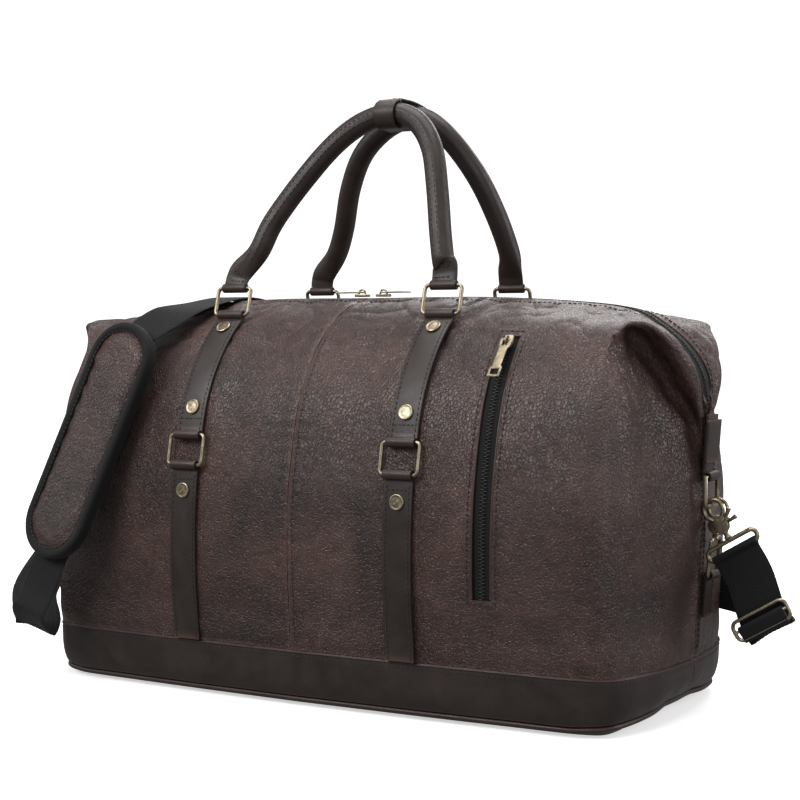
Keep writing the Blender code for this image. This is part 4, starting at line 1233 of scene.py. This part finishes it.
# (inset at the front, inset at the end, height at the front, height at the end)
PIPING_LEVEL = (5.0, 14.0, 5.2, 11.6)
BOTTOM_LEVELS = ((9.5, 19.0, 5.2, 11.2), (16.0, 36.0, 0.0, 0.0))
BAND_ROWS = ((0.5, 0.5, 44.3, 44.3), (-0.3, -0.3, 43.4, 43.4), (-0.6, -0.5, 38, 38.5), (-0.4, -0.2, 30, 31),
             (-0.2, 1.2, 23, 26), (0.2, 4.0, 17, 21), (1.1, 7.2, 12.2, 17.4), (2.6, 11, 8.2, 14.5))


def base_band(facing, side_y):
    """Half of the band with its rolled edge. Returns its row of stitches."""
    rows = smooth_line([Vector((a, b, c)) for a, b, c, _ in BAND_ROWS], 3)
    ends = smooth_line([Vector((d, 0, 0)) for *_, d in BAND_ROWS], 3)
    outer = [base_outline(side_y, r.x, r.y, r.z, e.x) for r, e in zip(rows, ends)]
    inner = [base_outline(side_y, r.x + BAND_THICKNESS, r.y + BAND_THICKNESS, r.z, e.x)
             for r, e in zip(rows, ends)]
    sections = [[row[i] for row in outer] + [row[i] for row in reversed(inner)] for i in range(len(outer[0]))]
    for section in sections:
        for point in section:
            sway = 0.5 * noise.noise(point * 0.02) + 0.25 * noise.noise(point * 0.06)
            point.y += side_y * sway * (0.3 if point.z > 40 else 1.0)
    band = loft(f"base_band_{facing}_leather", sections, 50.0)
    place(band, "dark_leather", instead=[f"base_band_{facing}"])
    bead = base_outline(side_y, -0.55, -0.5, 42.9, 42.9)
    place(wire(f"base_band_{facing}_edge", bead, 0.75, cyclic=False, sides=8), "dark_leather")
    line = base_outline(side_y, -0.75, -0.65, 39.6, 39.6)
    return stitch_row(line, 2.8, 1.4, 0.32)


def base_bottom():
    """Bottom panel: a sloping rim round a flat middle."""
    under = [base_ring(*level) for level in BOTTOM_LEVELS]
    over = [[point + Vector((0, 0, BASE_THICKNESS)) for point in ring] for ring in under]
    size = len(under[0])
    vertices = under[0] + under[1] + over[0] + over[1]
    faces = [tuple(range(size, 2 * size)), tuple(range(3 * size, 4 * size))]
    for j in range(size):
        k = (j + 1) % size
        faces += [(j, k, size + k, size + j), (2 * size + j, 3 * size + j, 3 * size + k, 2 * size + k),
                  (j, 2 * size + j, 2 * size + k, k)]
    place(mesh_object("base_panel_leather", vertices, faces), "dark_leather", instead=["base_panel"])


stitches("base_band_stitches", [base_band("front", -1), base_band("back", 1)])
piping = wire("base_piping_leather", base_ring(*PIPING_LEVEL), PIPING_RADIUS, sides=12)
place(piping, "dark_leather", instead=["base_piping"])
base_bottom()
coat(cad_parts["base_board"], "grey_board")
coat(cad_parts["pocket_pouch"], "black_lining")


# ---------------------------------------------------------------- zips

def top_zip_line(count):
    """Points of the top zip's middle line and its half opening, from the left end to the right."""
    found = []
    for side_x in (-1, 1):
        half = []
        for i in range(count + 1):
            u = 6.9 * i / count
            point = body_point(u, 8, side_x, -1)
            half.append((Vector((point.x, 0, point.z)), -point.y))
        found.append(half)
    return found[0][::-1] + found[1][1:]


def top_zip():
    """Tape that fills the opening, and the closed teeth along its middle."""
    line = top_zip_line(120)
    points = [point for point, _ in line]
    sections = []
    for i, (point, half) in enumerate(line):
        along = (points[min(i + 1, len(line) - 1)] - points[max(i - 1, 0)]).normalized()
        up = Vector((-along.z, 0, along.x))
        edge = half + 0.6
        shape = ((-edge, -2.2), (edge, -2.2), (edge, -1.5), (half * 0.5, -0.9), (2.4, -0.7), (0, -0.8),
                 (-2.4, -0.7), (-half * 0.5, -0.9), (-edge, -1.5))
        sections.append([point + Vector((0, y, 0)) + up * rise for y, rise in shape])
    tape = loft("top_zip_tape_cloth", sections, 50.0)
    place(tape, "black_fabric", instead=["top_zip_tape"])
    marks = resampled(points, 1.5)
    teeth = []
    for i, (a, b) in enumerate(zip(marks, marks[1:])):
        along = (b - a).normalized()
        up = Vector((-along.z, 0, along.x))
        side = 1 if i % 2 else -1
        middle = a + up * -0.1
        tip = middle + Vector((0, -side * 1.0, 0)) + up * 0.25
        teeth.append((middle + Vector((0, side * 3.0, 0)), tip, 0.62))
    place(capsules("top_zip_teeth", teeth), "zip_coil")


def pocket_zip():
    """Tape and teeth in the pocket's slot, the stitching round it and its two folded edges."""
    line = profile_at(POCKET_X, -1, POCKET_Z[0] + 0.4, POCKET_Z[1] - 0.4, 40)
    tape, _ = strip_outline(line, outward(-1), -2.6, -1.9, False, False)
    place(extruded("pocket_zip_cloth", [tape], POCKET_WIDTH - 0.8, FLAT_IN_YZ, (POCKET_X, 0, 0), 0.2),
          "black_fabric", instead=["pocket_zip_tape"])
    normals = normals_2d(line, outward(-1))
    middle = [Vector((POCKET_X, p.x + n.x * -1.2, p.y + n.y * -1.2)) for p, n in zip(line, normals)]
    marks = resampled(middle, 1.35)
    teeth = []
    for i, a in enumerate(marks[:-1]):
        side = 1 if i % 2 else -1
        teeth.append((a + Vector((side * 2.9, 0, 0)), a - Vector((side * 1.0, 0, 0)), 0.58))
    place(capsules("pocket_zip_teeth", teeth), "zip_coil")
    rows = []
    half, height = POCKET_WIDTH / 2, POCKET_Z[1] - POCKET_Z[0]
    for offset in (-1, 1):
        x = POCKET_X + offset * (half + 3.0)
        rows.append([(x, POCKET_Z[0] - 3.5 + (height + 7) * i / 90) for i in range(91)])
    for z in (POCKET_Z[0] - 3.5, POCKET_Z[1] + 3.5):
        rows.append([(POCKET_X - half - 3.0 + (POCKET_WIDTH + 6.0) * i / 12, z) for i in range(13)])
    stitches("pocket_zip_stitches", [stitch_row(smoothed(surface_line(row, -1, 0.2))) for row in rows])
    lips = []
    for offset in (-1, 1):
        x = POCKET_X + offset * (half - 0.6)
        edge = [(x, POCKET_Z[0] + 1.0 + (height - 2.0) * i / 80) for i in range(81)]
        lips.append(wire("lip", smoothed(surface_line(edge, -1, -0.5), 6), 1.0, cyclic=False, sides=8))
    place(joined("pocket_zip_edges", lips), "dark_leather")


def slider_and_pull(prefix, seat, along, up, tilt, pull_length, pull_width, slider_body, pull_body):
    """Zip slider with a wire bail, and its pull with a window at each end."""
    side = up.cross(along)
    turn = axes(along, side, up)
    plan = [Vector((6.0, -2.6)), Vector((4.6, -4.4)), Vector((0, -4.7)), Vector((-6.0, -3.2)),
            Vector((-6.0, 3.2)), Vector((0, 4.7)), Vector((4.6, 4.4)), Vector((6.0, 2.6))]
    plate = extruded("plate", [plan], 2.3, turn, seat + up * 1.2, 0.5)
    bail_centre = seat + up * 2.8
    steps = [math.radians(-25 + 230 * i / 24) for i in range(25)]
    bow = [bail_centre + along * math.cos(a) * 3.2 + up * math.sin(a) * 3.2 for a in steps]
    bail = wire("bail", bow, 0.85, cyclic=False, sides=12)
    place(joined(prefix + "_slider_brass", [plate, bail]), "antique_brass", slider_body, [prefix + "_slider"])
    pin = bail_centre + up * 1.0
    spin = Matrix.Rotation(math.radians(tilt), 3, side)
    lying, lifted = spin @ along, spin @ up
    half = pull_width / 2
    waist = half * 0.72
    body = [(-0.9, -half), (7.4, -half), (9.0, -waist), (pull_length - 10.5, -waist),
            (pull_length - 8.6, -half), (pull_length, -half), (pull_length, half), (pull_length - 8.6, half),
            (pull_length - 10.5, waist), (9.0, waist), (7.4, half), (-0.9, half)]
    near = [(0.8, -2.3), (6.4, -2.3), (6.4, 2.3), (0.8, 2.3)]
    far = [(pull_length - 7.4, -half + 1.7), (pull_length - 2.0, -half + 1.7),
           (pull_length - 2.0, half - 1.7), (pull_length - 7.4, half - 1.7)]
    pull = extruded(prefix + "_pull_brass", [body, near, far], 1.2, axes(lying, side, lifted), pin, 0.25)
    place(pull, "antique_brass", pull_body, [prefix + "_pull"])


top_zip()
pocket_zip()
slide_line = profile_at(POCKET_X, -1, 280, 288, 3)
slide_normal = normals_2d(slide_line, outward(-1))[1]
slide_along = (slide_line[0] - slide_line[2]).normalized()
slide_place = slide_line[1] + slide_normal * 1.1
slide_seat = Vector((POCKET_X, slide_place.x, slide_place.y))
slider_and_pull("pocket_zip", slide_seat, Vector((0, slide_along.x, slide_along.y)),
                Vector((0, slide_normal.x, slide_normal.y)), 1.0, 36.0, 10.0, "pocket_slider", "pocket_pull")
top_z = body_point(0, 8, 1, -1).z + 1.5
for slider_x, sideways, way in ((SLIDER_X[0], "left", -1), (SLIDER_X[1], "right", 1)):
    slider_and_pull(f"top_zip_{sideways}", Vector((slider_x, 0, top_z)), Vector((way, 0, 0)),
                    Vector((0, 0, 1)), 0.0, 24.0, 8.0, f"top_{sideways}_slider", f"top_{sideways}_pull")


# ---------------------------------------------------------------- straps, rings and rivets

STRAP_TOP = STRAP_UNDER + STRAP_THICKNESS


def strap(cad_name, x, side_y, z_low, z_high, low_lobe, high_lobe, rows_across):
    """Leather strap with its loops, in place of its CAD node. Returns its rows of stitches."""
    out = outward(side_y)
    points = profile_at(x, side_y, z_low, z_high, 33)
    outline, eyes = strip_outline(points, out, STRAP_UNDER, STRAP_TOP, low_lobe, high_lobe)
    holes = [arc(eye, EYE_RADIUS, 0, 340, 18) for eye in eyes]
    obj = extruded(cad_name + "_leather", [outline] + holes, STRAP_WIDTH, FLAT_IN_YZ, (x, 0, 0), 0.7, 40.0)
    place(obj, "dark_leather", instead=[cad_name])
    rows = []
    face = profile_at(x, side_y, z_low + (4 if low_lobe else 1), z_high - (4 if high_lobe else 1), 60)
    normals = normals_2d(face, out)
    for offset in (-STRAP_WIDTH / 2 + 2.6, STRAP_WIDTH / 2 - 2.6):
        raised = [p + n * (STRAP_TOP + 0.05) for p, n in zip(face, normals)]
        rows.append(stitch_row([Vector((x + offset, p.x, p.y)) for p in raised], 2.8, 1.4))
    for z in rows_across:
        spot = profile_at(x, side_y, z - 1, z + 1, 3)
        middle = spot[1] + normals_2d(spot, out)[1] * (STRAP_TOP + 0.05)
        across = [Vector((x + dx, middle.x, middle.y)) for dx in (-9.6, -3.2, 3.2, 9.6)]
        rows.append(stitch_row(across, 2.6, 1.2))
    return rows


def cad_eyes(x, side_y, z_low, z_high, low_lobe, high_lobe):
    """Loop centres on the CAD strap's own coarser line, where the rings' bars are."""
    points = profile_at(x, side_y, z_low, z_high, 9)
    return strip_outline(points, outward(side_y), STRAP_UNDER, STRAP_TOP, low_lobe, high_lobe)[1]


def rivet(cad_name, x, side_y, z):
    """Domed brass rivet on a strap, in place of its CAD node."""
    points = profile_at(x, side_y, z - 4, z + 4, 3)
    normal = normals_2d(points, outward(side_y))[1]
    seat = points[1] + normal * (STRAP_TOP + 0.2)
    profile = ((0.01, 0.0), (5.9, 0.0), (6.2, 0.5), (6.1, 1.2), (5.6, 1.6), (5.25, 1.62), (5.0, 1.5),
               (3.4, 1.66), (1.8, 1.74), (0.01, 1.76))
    obj = turned(cad_name + "_brass", profile, (x, seat.x, seat.y), (0, normal.x, normal.y))
    place(obj, "antique_brass", instead=[cad_name])


def ring(cad_name, x, low, high, body):
    """Rectangular ring with its bars at low and high (y, z), in place of its CAD node."""
    rise = (high - low).normalized()
    centre = (low + high) / 2
    loop = rounded_loop(RING_WIDTH - 2 * WIRE_RADIUS, (high - low).length, 3.6, 9)
    points = [(x + p.x, centre.x + rise.x * p.y, centre.y + rise.y * p.y) for p in loop]
    obj = wire(cad_name + "_brass", points, WIRE_RADIUS)
    place(obj, "antique_brass", body, [cad_name])


upper_bars = {}


def strap_column(side_y, facing, x, sideways, rows):
    """One column of straps up the front or back, with its rings and rivets."""
    if facing == "front":
        low_z = LOWER_RING_Z + RING_HEIGHT / 2 - WIRE_RADIUS
        lower_top = LOWER_RING_Z - RING_HEIGHT / 2 + WIRE_RADIUS
        upper_reach = (x, -1, low_z, STRAP_HEAD_Z, True, True)
        lower_reach = (x, -1, STRAP_FOOT_Z, lower_top, False, True)
        rows += strap(f"front_strap_upper_{sideways}", *upper_reach, (222.0, 300.0))
        rows += strap(f"front_strap_lower_{sideways}", *lower_reach, (174.0,))
        upper, lower = cad_eyes(*upper_reach), cad_eyes(*lower_reach)
        ring(f"front_lower_ring_{sideways}", x, lower[0], upper[1], "bag")
        for number, z in enumerate(RIVET_Z, 1):
            rivet(f"front_rivet_{sideways}_{number}", x, -1, z)
        top_bar = upper[0]
    else:
        reach = (x, 1, STRAP_FOOT_Z, STRAP_HEAD_Z, False, True)
        rows += strap(f"back_strap_{sideways}", *reach, (284.0, 300.0))
        rivet(f"back_rivet_{sideways}", x, 1, RIVET_Z[0])
        top_bar = cad_eyes(*reach)[0]
    high = top_bar + Vector((-side_y * 6.0, 22.5))
    ring(f"{facing}_upper_ring_{sideways}", x, top_bar, high, f"{facing}_rings")
    upper_bars[facing, sideways] = Vector((x, high.x, high.y))


strap_rows = []
for column_side, facing, places in ((-1, "front", FRONT_STRAPS_X), (1, "back", BACK_STRAPS_X)):
    for column_x, sideways in zip(places, ("left", "right")):
        strap_column(column_side, facing, column_x, sideways, strap_rows)
stitches("strap_stitches", strap_rows)


# ---------------------------------------------------------------- handles

def handle_stations(path, left_bar, right_bar):
    """(point, half width, half depth) from the left tab over the grip to the right tab."""
    inner = [Vector(p) for p in path]
    ends = []
    for bar, near, order in ((left_bar, inner[0], 1), (right_bar, inner[-1], -1)):
        upright = Vector((0, near.y - bar.y, near.z - bar.z)).normalized()
        lean = (near.x - bar.x) / (near.z - bar.z)
        flare = [(bar + upright * 3.0, *HANDLE_TAB),
                 (bar + upright * 9.0 + Vector((lean * 1.5, 0, 0)), *HANDLE_TAB),
                 (bar + upright * 16.0 + Vector((lean * 7.0, 0, 0)), 11.0, 4.4)]
        ends.append(flare[::order])
    return ends[0] + [(point, HANDLE_RADIUS, HANDLE_RADIUS) for point in inner] + ends[1]


def handle_frames(stations, per_span=6):
    """Dense (point, across, depth, half width, half depth) along the grip."""
    points = [point for point, _, _ in stations]
    sizes = [Vector((wide, deep)) for _, wide, deep in stations]
    last = len(stations) - 1
    count = last * per_span
    line = [catmull(points, last * i / count) for i in range(count + 1)]
    found = []
    for i, point in enumerate(line):
        along = (line[min(i + 1, count)] - line[max(i - 1, 0)]).normalized()
        depth = (Vector((0, 1, 0)) - along * along.y).normalized()
        size = catmull(sizes, last * i / count)
        found.append((point, along.cross(depth), depth, size.x, max(size.y, HANDLE_TAB[1])))
    return found


def handle(facing, path):
    """Rolled grip that flattens into a tab with an eye at each ring, and its stitching."""
    left_bar, right_bar = upper_bars[facing, "left"], upper_bars[facing, "right"]
    frames = handle_frames(handle_stations(path, left_bar, right_bar))
    outer_way = -1.0 if facing == "front" else 1.0
    sections = []
    for point, across, depth, wide, deep in frames:
        section = []
        for j in range(32):
            angle = math.tau * j / 32
            dent = 1.0 + 0.012 * noise.noise(point * 0.05 + Vector((math.cos(angle), math.sin(angle), 0)))
            seam = 1.0 - 0.055 * math.exp(-(((angle - math.pi * 1.5) / 0.11) ** 2))
            spread = across * wide * math.cos(angle) + depth * outer_way * -deep * math.sin(angle)
            section.append(point + spread * dent * seam)
        sections.append(section)
    grip = loft(f"{facing}_grip", sections, 60.0)
    eyes = []
    for bar in (left_bar, right_bar):
        outline = arc((0, 0), LOBE_RADIUS, 0, 345, 24)
        hole = arc((0, 0), EYE_RADIUS, 0, 345, 24)
        eyes.append(extruded("eye", [outline, hole], 2 * HANDLE_TAB[0], FLAT_IN_YZ, bar, 0.5))
    cover = joined(f"{facing}_handle_leather", [grip] + eyes)
    place(cover, "dark_leather", f"{facing}_grip", [f"{facing}_handle"])
    rows = []
    start, stop = 16, len(frames) - 16
    for way in (1, -1):
        line = []
        for point, across, depth, wide, deep in frames[start:stop]:
            angle = math.radians(-90 + way * 15)
            line.append(point + across * (wide + 0.1) * math.cos(angle)
                        + depth * -outer_way * (deep + 0.1) * math.sin(angle))
        rows.append(stitch_row(line, 3.0, 1.5, 0.33))
    for bar, ends in ((left_bar, frames[:12]), (right_bar, frames[::-1][:12])):
        for k in (3, 10):
            point, across, depth, _, deep = ends[k]
            face = point + depth * outer_way * (deep + 0.12)
            rows.append(stitch_row([face + across * s for s in (-8.4, -2.8, 2.8, 8.4)], 2.4, 1.2))
    stitches(f"{facing}_handle_stitches", rows, f"{facing}_grip")


def handle_keeper():
    """Leather band wrapped round the front grip, with its flap laid over the back grip."""
    width, thickness = 19.0, 1.7
    centre = Vector(FRONT_HANDLE[5]) * 0.55 + Vector(FRONT_HANDLE[6]) * 0.45
    reach = HANDLE_RADIUS + 1.2
    spine = [Vector((centre.y + reach * math.cos(a), centre.z + reach * math.sin(a)))
             for a in (math.radians(-60 - 290 * i / 30) for i in range(31))]
    spine = [p for p in spine if not (p.x > centre.y + 1.0 and p.y > centre.z + 3.0)]
    flap = ((2.0, 0.6), (12.0, 1.6), (24.0, 1.4), (34.0, 0.3), (44.8, -1.5))
    spine += [Vector((centre.y + y, centre.z + reach + rise)) for y, rise in flap]
    flat = [Vector((p.x, p.y)) for p in smooth_line([Vector((*p, 0)) for p in spine], 3)]
    outer = []
    for i, p in enumerate(flat):
        along = (flat[min(i + 1, len(flat) - 1)] - flat[max(i - 1, 0)]).normalized()
        outer.append(p + Vector((-along.y, along.x)) * thickness)
    band = extruded("handle_keeper_leather", [flat + outer[::-1]], width, FLAT_IN_YZ, (centre.x, 0, 0), 0.5)
    place(band, "dark_leather", "front_grip", ["handle_keeper"])
    low = centre.z - reach - 1.0
    tongue = ((1.0, 0), (14.0, -1.4), (27.0, 0.5), (27.0, 2.1), (14.0, 0.3), (1.0, 1.7))
    outline = [Vector((centre.y + y, low + rise)) for y, rise in tongue]
    place(extruded("handle_keeper_tongue", [outline], width, FLAT_IN_YZ, (centre.x + 1.0, 0, 0), 0.4),
          "dark_leather", "front_grip")
    rows = []
    for offset in (-7.4, 7.4):
        rows.append(stitch_row([Vector((centre.x + offset, p.x, p.y)) for p in outer[-42:]], 2.6, 1.4, 0.3))
    stitches("handle_keeper_stitches", rows, "front_grip")
    dome = ((0.01, 0), (4.2, 0), (4.4, 0.6), (3.6, 1.3), (2.0, 1.7), (0.01, 1.8))
    seat = (centre.x, centre.y + 12.0, centre.z + reach + 3.2)
    place(turned("handle_keeper_stud", dome, seat, (0, 0.05, 1), 28), "antique_brass", "front_grip")


handle("front", FRONT_HANDLE)
handle("back", BACK_HANDLE)
handle_keeper()


# ---------------------------------------------------------------- ends: tabs, D-rings and hooks

def end_strip(cad_name, side_x, y, z_low, z_high, low_lobe, high_lobe, width):
    """Strap on the end seam with one loop, in place of its CAD node. Returns its rows of stitches."""
    points = end_profile(side_x, z_low, z_high, 14)
    outline, eyes = strip_outline(points, Vector((side_x, 0.0)), *END_STRIP_FACES, low_lobe, high_lobe)
    hole = arc(eyes[0], D_WIRE + 0.4, 0, 340, 18)
    obj = extruded(cad_name + "_leather", [outline, hole], width, FLAT_IN_XZ, (0, y, 0), 0.7, 40.0)
    place(obj, "dark_leather", instead=[cad_name])
    normals = normals_2d(points, Vector((side_x, 0.0)))
    rows = []
    for offset in (-width / 2 + 2.2, width / 2 - 2.2):
        raised = [p + n * 4.45 for p, n in zip(points[1:-1], normals[1:-1])]
        line = [Vector((p.x, y + offset, p.y)) for p in raised]
        rows.append(stitch_row(line, 2.6, 1.3, 0.32))
    return rows


def scissor_hook(prefix, hang, direction, y, side_x, end_loop=None):
    """Two-jaw snap hook: fixed jaw with plate and swivel post, and a sprung jaw with its thumb lever."""
    down = Vector((direction[0], 0, direction[1])).normalized()
    side = Vector((-down.z * side_x, 0, down.x * side_x))
    depth = Vector((0, 1, 0))
    centre = Vector((hang[0], y, hang[1]))
    pivot = centre + down * HOOK_REACH
    near, far = depth * 1.75, depth * -1.75
    plate_turn = axes(side, down, side.cross(down))
    reach = 9.5 if end_loop else 13.0

    def jaw(name, start, end, offset):
        angles = [math.radians(start + (end - start) * i / 30) for i in range(31)]
        line = [centre + (down * math.cos(a) + side * math.sin(a)) * JAW_RADIUS + offset for a in angles]
        taper = [1.0 - 0.35 * (i / 30) ** 3 for i in range(31)]
        return wire(name, line, JAW_WIRE, cyclic=False, taper=taper)

    def teardrop(name, offset):
        outline = arc((0, 0), 6.0, -20, 200, 26) + [Vector((-1.6, -8.0)), Vector((1.6, -8.0))]
        return extruded(name, [outline], 1.5, plate_turn, pivot + offset, 0.35)

    def lever(name, offset, rise, length):
        line = smooth_line([pivot + offset + side * 2.0, pivot + offset + side * 7.0 - down * rise * 0.45,
                            pivot + offset + side * length - down * rise], 6)
        taper = [0.9 + 0.9 * (i / (len(line) - 1)) ** 2 for i in range(len(line))]
        return wire(name, line, 1.05, cyclic=False, taper=taper)

    spring_pin = turned("pin", ((0.01, -2.6), (2.2, -2.5), (2.6, -1.9), (2.6, 1.9), (2.2, 2.5), (0.01, 2.6)),
                        pivot + near * 0.9 + depth * 0.4, depth, 22)
    body = [jaw("fixed", 0, -180, near), teardrop("plate", near),
            lever("lever", near, 1.0, reach), spring_pin]
    collar = ((0.01, -3.0), (2.3, -2.9), (2.7, -2.2), (2.0, -1.6), (2.0, 0.4), (2.9, 0.9), (3.0, 2.2),
              (2.4, 2.9), (0.01, 3.0))
    body.append(turned("post", collar, pivot + down * 8.2, down, 24))
    body.append(wire("neck", [pivot + near + down * 3.0, pivot + near * 0.6 + down * 7.0], 1.5, cyclic=False))
    if end_loop:
        body.append(end_loop(pivot + down * HOOK_POST, down))
    place(joined(prefix + "_body_brass", body), "antique_brass", instead=[prefix + "_body"])
    swing = [jaw("moving", 0, 176, far), teardrop("cheek", far), lever("thumb", far, 8.5, reach - 0.5)]
    which = prefix.replace("_hook_", "_") + "_jaw"
    place(joined(prefix + "_jaw_brass", swing), "antique_brass", which, [prefix + "_jaw"])
    return pivot + down * HOOK_POST, down


loop_bars = {}


def bag_end(side_x, sideways):
    """One end's tab, D-ring, low strap, hooks and the oval loop of the shoulder strap."""
    tab_eye, low_eye, hang, aim = hook_plan(side_x)
    rows = end_strip(f"end_tab_{sideways}", side_x, 0, D_RING_Z, TAB_TOP_Z, True, False, TAB_WIDTH)
    rows += end_strip(f"end_strap_{sideways}", side_x, END_LOOP_Y, *END_STRAP_Z, False, True, 15.0)
    shield = end_profile(side_x, D_RING_Z + 11.0, 227.0, 14)
    outline = strip_outline(shield, Vector((side_x, 0.0)), 3.4, 6.4, False, False)[0]
    cover = extruded(f"end_tab_{sideways}_shield", [outline], 27.0, FLAT_IN_XZ, (0, 0, 0), 1.3, 40.0)
    place(cover, "dark_leather")
    face = normals_2d(shield, Vector((side_x, 0.0)))
    for k in (1, 11):
        spot = shield[k] + face[k] * 6.45
        across = [Vector((spot.x, y, spot.y)) for y in (-11.0, -4.0, 4.0, 11.0)]
        rows.append(stitch_row(across, 2.6, 1.3, 0.4))
    stitches(f"end_{sideways}_stitches", rows)
    half, low = D_RING_WIDTH / 2 - D_WIRE, D_CORNER - D_RING_DROP
    outline = [Vector((half, 0)), Vector((-half, 0))] + arc((D_CORNER - half, low), D_CORNER, 180, 270, 9)
    outline += arc((half - D_CORNER, low), D_CORNER, 270, 360, 9)
    place(wire(f"d_ring_{sideways}_brass", [(tab_eye.x, p.x, tab_eye.y + p.y) for p in outline], D_WIRE),
          "antique_brass", instead=[f"d_ring_{sideways}"])

    def end_loop(foot, down):
        bar_top, bar_low = foot - down * 2.4, Vector((low_eye.x, END_HOOK_Y, low_eye.y))
        middle = (bar_top + bar_low) / 2 + Vector((0, END_LOOP_Y - END_HOOK_Y, 0))
        return wire("loop", [middle + Vector((0, 1, 0)) * p.x + down * p.y
                             for p in rounded_loop(19.8, (bar_low - bar_top).length, 2.0, 6)], 1.6)

    scissor_hook(f"end_hook_{sideways}", hang, aim, END_HOOK_Y, side_x, end_loop)
    reach = Vector((HOOK_DOWN.x * side_x, HOOK_DOWN.z))
    foot, down = scissor_hook(f"strap_hook_{sideways}", hang, reach, STRAP_HOOK_Y, side_x)
    across = Vector((WEB_ACROSS.x * side_x, 0, WEB_ACROSS.z))
    loop = [foot + down * 4.5 + across * p.x + down * p.y for p in rounded_loop(WEB_WIDTH + 5.0, 9.0, 4.4, 9)]
    oval = wire(f"strap_loop_{sideways}_brass", loop, 1.8)
    place(oval, "antique_brass", instead=[f"strap_loop_{sideways}"])
    loop_bars[sideways] = (foot + down * 9.0, down, across)


for end_x, sideways in ((-1, "left"), (1, "right")):
    bag_end(end_x, sideways)

ADJUSTER_CENTRE = Vector((333.0, -10.0, 79.0))


def strap_adjuster():
    """Wire buckle with a sliding bar."""
    outer = [ADJUSTER_CENTRE + WEB_ACROSS * p.x + HOOK_DOWN * p.y for p in rounded_loop(46.0, 15.0, 5.0, 9)]
    bar = wire("bar", [ADJUSTER_CENTRE + WEB_ACROSS * s for s in (-23.0, 23.0)], 1.2, cyclic=False)
    place(joined("strap_adjuster_brass", [wire("frame", outer, 1.5), bar]), "antique_brass",
          instead=["strap_adjuster"])


strap_adjuster()
wraps = [bar_wrap(f"strap_wrap_{sideways}", *loop_bars[sideways], 1.8, 3.0) for sideways in ("left", "right")]
wraps.append(bar_wrap("strap_wrap_adjuster", ADJUSTER_CENTRE, HOOK_DOWN, WEB_ACROSS, 1.2, 10.0))
tuple(STRAP_LINE[0])
[tuple(p) for p in STRAP_LINE]
